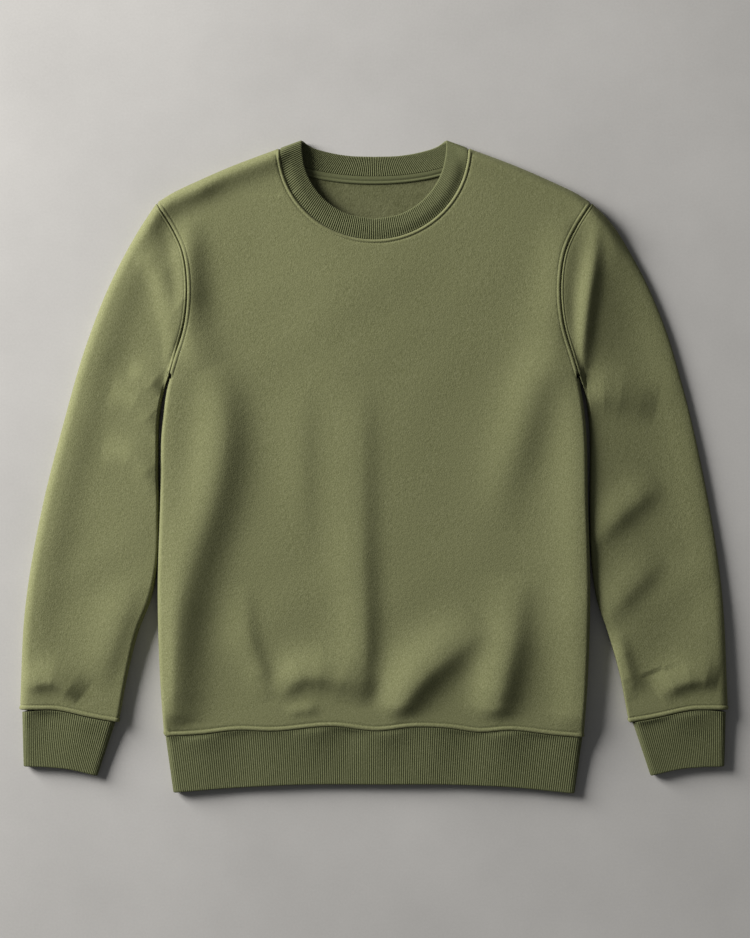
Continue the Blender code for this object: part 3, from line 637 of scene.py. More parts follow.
def panel_plan(neck_drop, step):
    """A panel's outline, the marks of its stretches, and its inner points."""
    stretches = panel_stretches(neck_drop)
    outline = []
    marks = []
    rows = []
    for number, (kind, curve) in enumerate(stretches):
        points = sample(curve, even_shares(curve, step))
        marks.append((kind, len(outline), len(outline) + len(points) - 1))
        outline.extend(points[:-1])
        inward = -across_at(curve, even_shares(curve, step))[:, :2]
        for distance in row_distances(kind):
            row = points + inward * distance * MM
            own = nearest_on(curve, *row.T)[0]
            clear = np.abs(own - distance * MM) < 0.03 * distance * MM
            for other, (_, beside) in enumerate(stretches):
                if other != number:
                    clear &= nearest_on(beside[::4], *row.T)[0] > (distance + 0.25) * MM
            rows.append(row[clear])
    outline = np.array(outline)
    rise = step * 0.866
    low = outline.min(axis=0)
    high = outline.max(axis=0)
    ups = np.arange(low[1], high[1], rise)
    grid = []
    for number, y in enumerate(ups):
        columns = np.arange(low[0] + (number % 2) * step / 2, high[0], step)
        grid.append(np.stack([columns, np.full(len(columns), y)], axis=-1))
    grid = np.concatenate(grid)
    room = np.full(len(grid), np.inf)
    for kind, curve in stretches:
        last = row_distances(kind)[-1] * MM
        room = np.minimum(room, nearest_on(curve[::3], *grid.T)[0] - last)
    grid = grid[room > 0.6 * step]
    inner = np.concatenate(rows + [grid])
    return outline, marks, inner[inside(outline, inner)]


def panel_relief(neck_drop, x, y):
    """Seam lips and stitched grooves of a body panel."""
    armhole = nearest_on(ARMHOLE_CURVE, np.abs(x), y)[0]
    neck = nearest_on(neck_seam(neck_drop), np.abs(x), y)[0]
    hem = nearest_on(HEM_CURVE, x, y)[0]
    return (relief_at(ARMHOLE_BODY_RELIEF, armhole) + relief_at(NECK_RELIEF, neck)
            + relief_at(HEM_RELIEF, hem))


def body_panel(name, neck_drop, height, faces_up, step, wall, materials):
    outline, marks, inner_plan = panel_plan(neck_drop, step)
    count = len(outline)
    plan = np.concatenate([outline, inner_plan])
    ring = [(index, (index + 1) % count) for index in range(count)]
    filled = delaunay_2d_cdt([Vector(point) for point in plan], ring, [], 1, 1e-7)
    faces = np.array([[filled[3][index][0] for index in face] for face in filled[2]])
    points = np.concatenate([plan, height(*plan.T)[:, None]], axis=-1)
    seams = []
    lift = SEAM_GAP / 2 if faces_up else -SEAM_GAP / 2
    for kind, first, last in sorted(marks, key=lambda mark: mark[0] != "fold"):
        indices = np.arange(first, last + 1) % count
        if kind == "fold":
            points[indices, 2] = body_middle(plan[indices, 1]) + lift
            seams.append((indices, np.array([0.0, 0.0, 1.0]), None))
        else:
            seams.append((indices, across(plan[indices]), plan[indices]))
    faces = turned_out(points, faces, faces_up)
    relief = panel_relief(neck_drop, *plan.T)
    outer, inner = skins(points, faces, np.full(len(points), wall), relief, seams)
    tree = BVHTree.FromPolygons(outer.tolist(), faces.tolist())
    return closed_wall(name, outer, inner, faces, materials), tree


# ---------------------------------------------------------------- tubes: sleeves, cuffs and hem
def girth(width, middle, height, reach, count):
    """Shares across a flattened tube, even along its skin: over the top, then back underneath."""
    dense = np.linspace(0.0, 1.0, 3001)
    from_edge = np.minimum(dense, 1.0 - dense) * width
    top = middle + (height - middle) * roll(from_edge, reach)
    bottom = middle * (1.0 - roll(from_edge, middle))
    ring = np.concatenate([np.stack([dense * width, top], -1), np.stack([dense * width, bottom], -1)[::-1]])
    share_round = np.concatenate([dense, dense[::-1]])
    reach_round = lengths(ring)
    where = np.arange(count) / count * reach_round[-1]
    return np.interp(where, reach_round, share_round), where > reach_round[len(dense) - 1]


def patch(bottom, top, left, right, across_shares, up_shares):
    """Points filled in between four boundary rows of points."""
    u = across_shares[None, :, None]
    v = up_shares[:, None, None]
    corners = ((1 - u) * (1 - v) * bottom[0] + u * (1 - v) * right[0]
               + (1 - u) * v * top[0] + u * v * right[-1])
    return ((1 - v) * bottom[None] + v * top[None] + (1 - u) * left[:, None] + u * right[:, None]
            - corners)


def growing_rows(first_step, growth, last_step):
    """Shares from 0 to 1 that lie close together at both ends."""
    steps = [first_step]
    while steps[-1] < last_step:
        steps.append(steps[-1] * growth)
    near = np.concatenate([[0.0], np.cumsum(steps)])
    middle_count = int(round((1.0 - 2.0 * near[-1]) / last_step))
    middle = np.linspace(near[-1], 1.0 - near[-1], middle_count + 1)[1:-1]
    return np.concatenate([near, middle, 1.0 - near[::-1]])


def sleeve(which, sign, wall, materials):
    rings = growing_rows(0.00045, 1.07, 0.0056)
    turn = np.array([sign, 1.0])
    outer_edge = through(SLEEVE_OUTER[which]) * turn
    inner_edge = through(SLEEVE_INNER[which]) * turn
    armhole_line = ARMHOLE_CURVE[::-1] * turn
    cuff_line = through(CUFF_SEAM) * turn
    shares, under = girth(0.150, 7.0 * MM, 12.0 * MM, SLEEVE_ROLL, 132)
    armhole = sample(armhole_line, shares)
    outward = across_at(armhole_line, shares)[:, :2]
    outward = outward * np.sign(outward[:, :1]) * sign
    seam = armhole + SEAM_GAP * outward
    cuff = sample(cuff_line, shares)
    edge_outer = sample(outer_edge, rings)
    edge_inner = sample(inner_edge, rings)
    fading = (1.0 - rings[:, None]) ** 40
    edge_outer = edge_outer + (seam[0] - edge_outer[0]) * fading
    edge_inner = edge_inner + (seam[np.argmax(shares)] - edge_inner[0]) * fading
    plan = patch(seam, cuff, edge_outer, edge_inner, shares, 1.0 - (1.0 - rings) ** 3)
    x = plan[..., 0]
    y = plan[..., 1]

    from_outer = nearest_on(outer_edge, x, y)[0]
    from_inner = nearest_on(inner_edge, x, y)[0]
    from_outer[:, shares <= 0.0] = 0.0
    near_cuff = smooth((rings[:, None] - 0.6) / 0.4)
    outer_middle = SLEEVE_OUTER_MIDDLE + (SLEEVE_CUFF_MIDDLE - SLEEVE_OUTER_MIDDLE) * near_cuff
    inner_middle = SLEEVE_INNER_MIDDLE + (SLEEVE_CUFF_MIDDLE - SLEEVE_INNER_MIDDLE) * near_cuff
    over = smooth(from_outer / (from_outer + from_inner))
    middle = outer_middle + (inner_middle - outer_middle) * over
    rest = SLEEVE_OUTER_REST[which] + (SLEEVE_INNER_REST[which] - SLEEVE_OUTER_REST[which]) * over
    rest = rest + (12.4 - rest) * near_cuff
    full = rest * MM + puffed(SLEEVE_PUFF[which], from_outer) * (1.0 - 0.6 * near_cuff)
    full = full + fold_heights(which, x, y) + ripple(x, y, 0.25 * MM, 0.11)
    rolled = roll(from_outer, SLEEVE_ROLL) * roll(from_inner, SLEEVE_INNER_ROLL[which] * MM)
    top = middle + (full - middle) * rolled
    bottom = middle * (1.0 - roll(from_outer, outer_middle) * roll(from_inner, inner_middle))
    own = smooth(rings[:, None] / 0.12)
    top = front_height(*armhole.T)[None] * (1 - own) + top * own
    bottom = back_height(*armhole.T)[None] * (1 - own) + bottom * own
    z = np.where(under[None], bottom, top)

    grid = np.concatenate([plan, z[..., None]], axis=-1)
    rows, columns = z.shape
    points = grid.reshape(-1, 3)
    faces = turned_out(points, grid_faces(rows, columns, around=True), faces_up=True)
    sewn_line = armhole_line + SEAM_GAP * line_out(armhole_line, sign)
    seams = [(np.arange(columns), across_at(armhole_line, shares), sewn_line),
             ((rows - 1) * columns + np.arange(columns), across_at(cuff_line, shares), cuff_line)]
    from_armhole = nearest_on(sewn_line, x, y)[0].ravel()
    from_cuff = nearest_on(cuff_line, x, y)[0].ravel()
    relief = relief_at(ARMHOLE_SLEEVE_RELIEF, from_armhole) + relief_at(HEM_RELIEF, from_cuff)
    outer, inner = skins(points, faces, np.full(len(points), wall), relief, seams)
    made = closed_wall(f"sleeve_{which}_cloth", outer, inner, faces, materials)
    return made, BVHTree.FromPolygons(outer.tolist(), faces.tolist())


def line_out(line, sign):
    """Level unit vectors square to a line, on the side away from the body's centre."""
    square = across(line)[:, :2]
    return square * np.sign(square[:, :1]) * sign


def wale_relief(count, depth):
    """Round ribs with narrow grooves between them, by column."""
    phase = np.arange(count) / SAMPLES_PER_WALE
    return depth * (np.abs(np.cos(np.pi * phase)) - 1.0)


def band_rows(width):
    """Shares across a rib band: close together at its seam and at its free edge."""
    near = np.array([0.0, 0.35, 0.9, 1.7, 3.0, 5.0]) * MM / width
    far = 1.0 - np.array([3.0, 1.5, 0.9, 0.45, 0.15, 0.0]) * MM / width
    middle_count = max(3, int(round((far[0] - near[-1]) * width / (6.0 * MM))))
    middle = np.linspace(near[-1], far[0], middle_count + 1)[1:-1]
    return np.concatenate([near, middle, far])


def rib_tube(name, seam_line, edge_line, settings, materials, relief_share=RIB_RELIEF_SHARE):
    """A rib band folded double: a flattened tube from its seam to its rounded lower edge."""
    width = lengths(seam_line)[-1]
    girth_length = 2.0 * width + np.pi * RIB_FOLD_MIDDLE
    count = int(round(girth_length / settings.wale_pitch)) * SAMPLES_PER_WALE
    shares, under = girth(width, RIB_FOLD_MIDDLE, 12.4 * MM, RIB_ROLL, count)
    seam = sample(seam_line, shares)
    edge = sample(edge_line, shares)
    drop = np.linalg.norm(seam - edge, axis=-1).mean()
    rings = band_rows(drop)[:, None]
    plan = seam[None] * (1 - rings[..., None]) + edge[None] * rings[..., None]
    first = sample(seam_line, 0.0) * (1 - rings) + sample(edge_line, 0.0) * rings
    last = sample(seam_line, 1.0) * (1 - rings) + sample(edge_line, 1.0) * rings
    from_first = np.linalg.norm(plan - first[:, None], axis=-1)
    from_last = np.linalg.norm(plan - last[:, None], axis=-1)
    where, height = np.array(RIB_ROWS).T
    full = np.interp(rings, where, height * MM) + ripple(plan[..., 0], 0.4 * plan[..., 1], 0.28 * MM, 0.10)
    gathered = np.sin(plan[..., 0] / GATHER_LONG) + 0.7 * np.sin(plan[..., 0] / GATHER_SHORT + 1.0)
    full = full + GATHER_HEIGHT * gathered * np.exp(-3.0 * rings) * smooth(rings / 0.1)
    rolled = roll(from_first, RIB_ROLL) * roll(from_last, RIB_ROLL)
    top = RIB_FOLD_MIDDLE + (full - RIB_FOLD_MIDDLE) * rolled
    under_rolled = roll(from_first, RIB_FOLD_MIDDLE) * roll(from_last, RIB_FOLD_MIDDLE)
    bottom = RIB_FOLD_MIDDLE * (1.0 - under_rolled)
    z = np.where(under[None], bottom, top)
    grid = np.concatenate([plan, z[..., None]], axis=-1)
    rows, columns = z.shape
    points = grid.reshape(-1, 3)
    faces = turned_out(points, grid_faces(rows, columns, around=True), faces_up=True)
    seams = [(np.arange(columns), across_at(seam_line, shares), seam_line),
             ((rows - 1) * columns + np.arange(columns), across_at(edge_line, shares), edge_line)]
    wales = np.tile(wale_relief(columns, settings.wale_depth * relief_share), rows)
    wall = np.full(len(points), settings.rib_wall)
    outer, inner = skins(points, faces, wall, wales, seams, inner_relief=wales)
    from_edge = np.repeat((1.0 - rings[:, 0]) * drop, columns)
    outer, inner = rounded_edge(outer, inner, from_edge, settings.rib_wall / 2)
    return closed_wall(name, outer, inner, faces, materials)


def hem_seam_line():
    """The rib's side of the hem seam, a little narrower than the body."""
    line = HEM_CURVE * np.array([HEM_RIB_HALF / HEM_CURVE[-1, 0], 1.0])
    return line - np.array([0.0, SEAM_GAP])


# ---------------------------------------------------------------- neck
def closed_round(front, back):
    """A neck ring's points: left fold, front, right fold and round the back."""
    mirror = np.array([-1.0, 1.0])
    front_row = np.concatenate([front * mirror, front[-2::-1]])
    back_row = np.concatenate([back, back[-2:0:-1] * mirror])
    return np.concatenate([front_row, back_row[1:]]), len(front_row)


def half_shares(line, settings):
    """Even shares of half a neck line, a whole number of ribs to its full length."""
    wales = int(round(2.0 * lengths(line)[-1] / settings.wale_pitch))
    return np.linspace(0.0, 1.0, wales * SAMPLES_PER_WALE // 2 + 1)


def neck_rib(settings, materials):
    inset = np.array([1.0 - 1.4 * SEAM_GAP / NECK_SEAM_HALF, 1.0])
    front_line = neck_seam(NECK_DROP_FRONT - SEAM_GAP) * inset
    back_line = neck_seam(NECK_DROP_BACK - SEAM_GAP) * inset
    front_shares = half_shares(front_line, settings)
    back_shares = half_shares(back_line, settings)
    seam, fronts = closed_round(sample(front_line, front_shares), sample(back_line, back_shares))
    edge, _ = closed_round(sample(through(NECK_EDGE_FRONT), front_shares),
                           sample(through(NECK_EDGE_BACK), back_shares))
    drop = np.linalg.norm(seam - edge, axis=-1)
    rings = band_rows(23.0 * MM)[:, None]
    plan = seam[None] * (1 - rings[..., None]) + edge[None] * rings[..., None]
    x = plan[..., 0]
    y = plan[..., 1]
    z = back_height(x, y)
    at_seam = front_height(*seam[:fronts].T)[None] - 0.8 * MM
    from_fold = edge_distance(x[:, :fronts], y[:, :fronts])
    centre = np.zeros(1)
    full = front_height(centre, centre + NECK_SEAM_TOP - NECK_DROP_FRONT)[0]
    full = full + 0.6 * MM * np.sin(np.pi * rings) - NECK_EDGE_FALL * smooth(rings)
    middle = body_middle(y[:, :fronts])
    own = middle + (full - middle) * roll(from_fold, TOP_ROLL)
    share = smooth(rings / 0.5)
    z[:, :fronts] = at_seam * (1 - share) + own * share
    grid = np.concatenate([plan, z[..., None]], axis=-1)
    rows, columns = z.shape
    points = grid.reshape(-1, 3)
    faces = turned_out(points, grid_faces(rows, columns, around=True), faces_up=True)
    seams = []
    for row in (0, rows - 1):
        indices = row * columns + np.arange(columns)
        before = plan[row, :fronts]
        behind = np.concatenate([plan[row, fronts - 1:], plan[row, :1]])
        seams.append((indices[:fronts], across(before), before[::3]))
        seams.append((indices[fronts:], across(behind)[1:-1], behind[::3]))
    wales = np.tile(wale_relief(columns, settings.wale_depth), rows)
    wall = np.full(len(points), settings.rib_wall)
    outer, inner = skins(points, faces, wall, wales, seams, inner_relief=wales)
    from_edge = ((1.0 - rings) * drop[None]).ravel()
    outer, inner = rounded_edge(outer, inner, from_edge, settings.rib_wall / 2)
    return closed_wall("neck_rib_cloth", outer, inner, faces, materials)


def neck_tape(settings, materials):
    """A flat strip on the back panel's inside, just below the neck seam."""
    half = neck_seam(NECK_DROP_BACK)
    half = half[half[:, 0] < 0.86 * NECK_SEAM_HALF]
    row = sample(half, even_shares(half, 1.5 * MM))
    row = np.concatenate([row * np.array([-1.0, 1.0]), row[-2::-1]])
    below = -across(row)[:, :2]
    below = below * np.sign(-below[:, 1:])
    offset, relief = np.array(TAPE_RELIEF).T * MM
    plan = row[None] + below[None] * np.maximum(offset, 0.5 * MM * (offset == 0.0))[:, None, None]
    top = settings.fleece_wall + SEAM_GAP + settings.tape_wall
    z = np.full(plan.shape[:2], top)
    points = np.concatenate([plan, z[..., None]], axis=-1).reshape(-1, 3)
    faces = turned_out(points, grid_faces(len(offset), len(row), around=False), faces_up=True)
    wall = np.full(len(points), settings.tape_wall)
    outer, inner = skins(points, faces, wall, np.repeat(relief, len(row)), [])
    return closed_wall("neck_tape_cloth", outer, inner, faces, materials)


# ---------------------------------------------------------------- stitching
def stitch_mesh(name, rows, settings, material):
    """Short threads end to end along rows of points with normals, as one joined mesh."""
    sides = 6
    along = np.array([0.0, 0.14, 0.5, 0.86, 1.0])
    girths = np.array([0.30, 0.85, 1.0, 0.85, 0.30])
    sink = np.array([-1.1, -0.35, 0.15, -0.35, -1.1])
    angle = np.arange(sides) / sides * 2.0 * np.pi
    points = []
    faces = []
    for start, end, normal in rows:
        run = end - start
        side = np.cross(normal, run)
        side = side / np.linalg.norm(side)
        up = np.cross(run, side)
        up = up / np.linalg.norm(up)
        radius = settings.thread_radius
        base = len(points)
        for share, size, height in zip(along, girths, sink):
            centre = start + run * share + up * height * radius
            for turn in angle:
                points.append(centre + radius * size * (side * np.cos(turn) + up * np.sin(turn)))
        faces.extend((base + grid_faces(len(along), sides, around=True)).tolist())
        faces.append([base + index for index in reversed(range(sides))])
        faces.append([base + (len(along) - 1) * sides + index for index in range(sides)])
    mesh = bpy.data.meshes.new(name)
    mesh.from_pydata([tuple(point) for point in points], [], faces)
    mesh.materials.append(material)
    mesh.validate()
    mesh.shade_smooth()
    piece = bpy.data.objects.new(name, mesh)
    bpy.context.scene.collection.objects.link(piece)
    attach(piece, "root")
    return piece


def stitches_on(tree, line, inset, pitch, from_above):
    """Stitches along a line moved inward, set on the cloth below or above it."""
    curve = line + across(line)[:, :2] * inset
    count = int(lengths(curve)[-1] / pitch)
    shares = np.arange(count + 1) / count
    places = sample(curve, shares)
    found = []
    down = -1.0 if from_above else 1.0
    for x, y in places:
        place, normal, _, _ = tree.ray_cast(Vector((x, y, -0.05 * down)), Vector((0.0, 0.0, down)))
        flat = place is not None and abs(normal.z) > 0.55 and (normal.z > 0) == from_above
        found.append((np.array(place), np.array(normal)) if flat else None)
    rows = []
    for first, second in zip(found, found[1:]):
        if first is None or second is None:
            continue
        gap = second[0] - first[0]
        if np.linalg.norm(gap) > 2.0 * pitch:
            continue
        rows.append((first[0] + 0.06 * gap, first[0] + 0.84 * gap, (first[1] + second[1]) / 2))
    return rows


# ---------------------------------------------------------------- materials
def new_group(name, inputs, outputs):
    """An empty shader node group with its sockets: (name, type, default) and (name, type)."""
    tree = bpy.data.node_groups.new(name, "ShaderNodeTree")
    for label, kind, default in inputs:
        socket = tree.interface.new_socket(name=label, in_out="INPUT", socket_type=kind)
        socket.default_value = default
    for label, kind in outputs:
        tree.interface.new_socket(name=label, in_out="OUTPUT", socket_type=kind)
    return tree, tree.nodes.new("NodeGroupInput"), tree.nodes.new("NodeGroupOutput")


def math_node(tree, operation, first, second):
    """A Math node whose inputs are sockets or numbers."""
    node = tree.nodes.new("ShaderNodeMath")
    node.operation = operation
    for socket, value in zip(node.inputs, (first, second)):
        if isinstance(value, bpy.types.NodeSocket):
            tree.links.new(value, socket)
        else:
            socket.default_value = value
    return node.outputs["Value"]


def noise_node(tree, vector, scale, detail, roughness=0.5):
    """A Noise node's value, at a fixed or linked scale."""
    node = tree.nodes.new("ShaderNodeTexNoise")
    node.inputs["Detail"].default_value = detail
    node.inputs["Roughness"].default_value = roughness
    tree.links.new(vector, node.inputs["Vector"])
    if isinstance(scale, bpy.types.NodeSocket):
        tree.links.new(scale, node.inputs["Scale"])
    else:
        node.inputs["Scale"].default_value = scale
    return node.outputs["Fac"]


def remapped(tree, value, low, high, to_low, to_high):
    """A value spread from one range to another, held at both ends."""
    node = tree.nodes.new("ShaderNodeMapRange")
    tree.links.new(value, node.inputs["Value"])
    for label, number in (("From Min", low), ("From Max", high), ("To Min", to_low), ("To Max", to_high)):
        node.inputs[label].default_value = number
    return node.outputs["Result"]


def mixed(tree, share, first, second):
    """Two colours mixed by a share."""
    node = tree.nodes.new("ShaderNodeMix")
    node.data_type = "RGBA"
    tree.links.new(share, node.inputs["Factor"])
    for socket, value in ((node.inputs["A"], first), (node.inputs["B"], second)):
        tree.links.new(value, socket)
    return node.outputs["Result"]


def heather_group():
    """Heathered cloth: light and dark fibres over the main colour, and the height of the nap."""
    found = bpy.data.node_groups.get("Heathered Cloth")
    if found:
        return found
    tree, given, made = new_group("Heathered Cloth", (
        ("Colour", "NodeSocketColor", (0.2, 0.2, 0.1, 1.0)),
        ("Light Fibre", "NodeSocketColor", (0.3, 0.3, 0.15, 1.0)),
        ("Dark Fibre", "NodeSocketColor", (0.1, 0.1, 0.05, 1.0)),
        ("Fibre Scale", "NodeSocketFloat", 1100.0),
        ("Heather", "NodeSocketFloat", 0.6),
        ("Mottle", "NodeSocketFloat", 0.3),
    ), (("Colour", "NodeSocketColor"), ("Height", "NodeSocketFloat"), ("Roughness", "NodeSocketFloat")))
    place = tree.nodes.new("ShaderNodeTexCoord").outputs["Object"]
    stretch = tree.nodes.new("ShaderNodeMapping")
    stretch.inputs["Scale"].default_value = (1.0, 0.55, 1.0)
    stretch.inputs["Rotation"].default_value = (0.0, 0.0, 0.35)
    tree.links.new(place, stretch.inputs["Vector"])
    fibres = noise_node(tree, stretch.outputs["Vector"], given.outputs["Fibre Scale"], 2.0, 0.6)
    clumps = noise_node(tree, place, 230.0, 3.0, 0.6)
    drift = noise_node(tree, place, 14.0, 2.0)
    light_share = remapped(tree, fibres, 0.50, 0.72, 0.0, 1.0)
    lights = math_node(tree, "MULTIPLY", light_share, given.outputs["Heather"])
    dark_share = remapped(tree, fibres, 0.50, 0.30, 0.0, 1.0)
    darks = math_node(tree, "MULTIPLY", dark_share, given.outputs["Heather"])
    colour = mixed(tree, lights, given.outputs["Colour"], given.outputs["Light Fibre"])
    colour = mixed(tree, darks, colour, given.outputs["Dark Fibre"])
    patch_share = remapped(tree, clumps, 0.45, 0.75, 0.0, 1.0)
    patches = math_node(tree, "MULTIPLY", patch_share, given.outputs["Mottle"])
    colour = mixed(tree, patches, colour, given.outputs["Dark Fibre"])
    worn = math_node(tree, "MULTIPLY", remapped(tree, drift, 0.40, 0.70, 0.0, 0.35), given.outputs["Mottle"])
    colour = mixed(tree, worn, colour, given.outputs["Light Fibre"])
    nap = math_node(tree, "ADD", math_node(tree, "MULTIPLY", clumps, 0.9), fibres)
    tree.links.new(colour, made.inputs["Colour"])
    tree.links.new(nap, made.inputs["Height"])
    tree.links.new(remapped(tree, fibres, 0.3, 0.7, 0.95, 0.82), made.inputs["Roughness"])
    return tree


def cloth_material(name, colours, scale, heather, mottle, bump, sheen):
    """A knitted cloth with its own fibre scale, heathering and nap."""
    material = bpy.data.materials.get(name)
    if material:
        return material
    material = bpy.data.materials.new(name)
    material.use_nodes = True
    tree = material.node_tree
    shader = tree.nodes["Principled BSDF"]
    shader.inputs["Sheen Weight"].default_value = sheen
    shader.inputs["Sheen Roughness"].default_value = 0.45
    shader.inputs["Sheen Tint"].default_value = (0.80, 0.82, 0.62, 1.0)
    shader.inputs["Specular IOR Level"].default_value = 0.12
    cloth = tree.nodes.new("ShaderNodeGroup")
    cloth.node_tree = heather_group()
    for label, colour in zip(("Colour", "Light Fibre", "Dark Fibre"), colours):
        cloth.inputs[label].default_value = (*colour, 1.0)
    cloth.inputs["Fibre Scale"].default_value = scale
    cloth.inputs["Heather"].default_value = heather
    cloth.inputs["Mottle"].default_value = mottle
    relief = tree.nodes.new("ShaderNodeBump")
    relief.inputs["Distance"].default_value = bump
    relief.inputs["Strength"].default_value = 0.8
    tree.links.new(cloth.outputs["Height"], relief.inputs["Height"])
    tree.links.new(cloth.outputs["Colour"], shader.inputs["Base Color"])
    tree.links.new(cloth.outputs["Roughness"], shader.inputs["Roughness"])
    tree.links.new(relief.outputs["Normal"], shader.inputs["Normal"])
    return material


def darker(colour, share):
    return tuple(value * share for value in colour)


def fleece_face(settings):
    colours = (settings.fleece_colour, settings.fleece_light, settings.fleece_dark)
    return cloth_material("fleece face", colours, 1150.0, 0.75, 0.16, 0.40 * MM, 0.14)


def fleece_inside_painted_shade(settings):
    face = (settings.fleece_colour, settings.fleece_light, settings.fleece_dark)
    # painted shade: the inner side's colours are darkened, partly for the shade inside the neck and partly
    # for the darker nap
    colours = [darker(colour, INSIDE_PAINTED_SHADE) for colour in face]
    return cloth_material("brushed inside with painted shade", colours, 900.0, 0.75, 0.85, 0.45 * MM, 0.16)


def rib_face(settings):
    colours = (settings.rib_colour, darker(settings.fleece_light, 0.95), darker(settings.fleece_dark, 0.85))
    return cloth_material("rib knit", colours, 1300.0, 0.55, 0.14, 0.20 * MM, 0.10)


def tape_face(settings):
    colours = (settings.rib_colour, settings.fleece_light, settings.fleece_dark)
    return cloth_material("neck tape", colours, 1500.0, 0.35, 0.10, 0.12 * MM, 0.08)


def thread(settings):
    colours = (settings.thread_colour, settings.fleece_light, settings.rib_colour)
    return cloth_material("sewing thread", colours, 2500.0, 0.30, 0.10, 0.05 * MM, 0.10)


def floor_material(colour):
    """Plain matt floor with a faint trowelled unevenness."""
    material = bpy.data.materials.new("pale floor")
    material.use_nodes = True
    tree = material.node_tree
    shader = tree.nodes["Principled BSDF"]
    shader.inputs["Specular IOR Level"].default_value = 0.2
    place = tree.nodes.new("ShaderNodeTexCoord").outputs["Object"]
    clouds = noise_node(tree, place, 5.0, 5.0, 0.6)
    grit = noise_node(tree, place, 420.0, 3.0, 0.6)
    ramp = tree.nodes.new("ShaderNodeMix")
    ramp.data_type = "RGBA"
    ramp.inputs["A"].default_value = (*darker(colour, 0.93), 1.0)
    ramp.inputs["B"].default_value = (*darker(colour, 1.06), 1.0)
    broad = math_node(tree, "MULTIPLY", clouds, 0.7)
    fine = math_node(tree, "MULTIPLY", grit, 0.3)
    both = math_node(tree, "ADD", broad, fine)
    tree.links.new(remapped(tree, both, 0.35, 0.65, 0.0, 1.0), ramp.inputs["Factor"])
    tree.links.new(ramp.outputs["Result"], shader.inputs["Base Color"])
    tree.links.new(remapped(tree, grit, 0.3, 0.7, 0.9, 0.75), shader.inputs["Roughness"])
    return material


# ---------------------------------------------------------------- operators
class SWEATSHIRT_OT_body(bpy.types.Operator):
    """Build the front and back panels"""
    bl_idname = "sweatshirt.body"
    bl_label = "Front and back"

    def execute(self, context):
        settings = context.scene.sweatshirt
        materials = (fleece_face(settings), fleece_inside_painted_shade(settings))
        front, front_tree = body_panel("front_cloth", NECK_DROP_FRONT, front_height, True,
                                       settings.mesh_step, settings.fleece_wall, materials)
        back, back_tree = body_panel("back_cloth", NECK_DROP_BACK, back_height, False,
                                     1.4 * settings.mesh_step, settings.fleece_wall, materials)
        dressed(front, "front")
        dressed(back, "back")
        pitch = settings.stitch_pitch
        rows = {"armholes": [], "neck": [], "hem": []}
        for tree, drop, above in ((front_tree, NECK_DROP_FRONT, True), (back_tree, NECK_DROP_BACK, False)):
            mirror = np.array([-1.0, 1.0])
            arm = -STITCH_INSET["armhole"] * MM
            for line in (ARMHOLE_CURVE, ARMHOLE_CURVE[::-1] * mirror):
                rows["armholes"] += stitches_on(tree, line, arm, pitch, above)
            half = neck_seam(drop)
            line = np.concatenate([half, half[-2::-1] * mirror])
            rows["neck"] += stitches_on(tree, line, -STITCH_INSET["neck"] * MM, pitch, above)
            rows["hem"] += stitches_on(tree, HEM_CURVE, -STITCH_INSET["hem"] * MM, pitch, above)
        for name, found in rows.items():
            stitch_mesh(f"stitching_{name}", found, settings, thread(settings))
        return {"FINISHED"}


class SWEATSHIRT_OT_sleeves(bpy.types.Operator):
    """Build both sleeves"""
    bl_idname = "sweatshirt.sleeves"
    bl_label = "Sleeves"

    def execute(self, context):
        settings = context.scene.sweatshirt
        materials = (fleece_face(settings), fleece_inside_painted_shade(settings))
        found = []
        for which, sign in (("left", -1.0), ("right", 1.0)):
            piece, tree = sleeve(which, sign, settings.fleece_wall, materials)
            dressed(piece, f"sleeve_{which}")
            line = through(CUFF_SEAM) * np.array([sign, 1.0])
            for above in (True, False):
                found += stitches_on(tree, line, sign * STITCH_INSET["cuff"] * MM,
                                     settings.stitch_pitch, above)
        stitch_mesh("stitching_cuffs", found, settings, thread(settings))
        return {"FINISHED"}


class SWEATSHIRT_OT_cuffs(bpy.types.Operator):
    """Build both rib cuffs"""
    bl_idname = "sweatshirt.cuffs"
    bl_label = "Cuffs"

    def execute(self, context):
        settings = context.scene.sweatshirt
        materials = (rib_face(settings),)
        for which, sign in (("left", -1.0), ("right", 1.0)):
            turn = np.array([sign, 1.0])
            seam_line = through(CUFF_TOP) * turn - np.array([0.0, SEAM_GAP])
            edge_line = through(CUFF_EDGE) * turn
            piece = rib_tube(f"cuff_{which}_cloth", seam_line, edge_line, settings, materials)
            dressed(piece, f"cuff_{which}")
        return {"FINISHED"}


class SWEATSHIRT_OT_hem(bpy.types.Operator):
    """Build the rib at the hem"""
    bl_idname = "sweatshirt.hem"
    bl_label = "Hem rib"

    def execute(self, context):
        settings = context.scene.sweatshirt
        materials = (rib_face(settings),)
        piece = rib_tube("hem_rib_cloth", hem_seam_line(), through(HEM_EDGE), settings, materials)
        dressed(piece, "hem_rib")
        return {"FINISHED"}


class SWEATSHIRT_OT_neck(bpy.types.Operator):
    """Build the neck rib and the tape behind it"""
    bl_idname = "sweatshirt.neck"
    bl_label = "Neck"

    def execute(self, context):
        settings = context.scene.sweatshirt
        rib = neck_rib(settings, (rib_face(settings),))
        dressed(rib, "neck_rib")
        tape = neck_tape(settings, (tape_face(settings),))
        dressed(tape, "neck_tape")
        return {"FINISHED"}


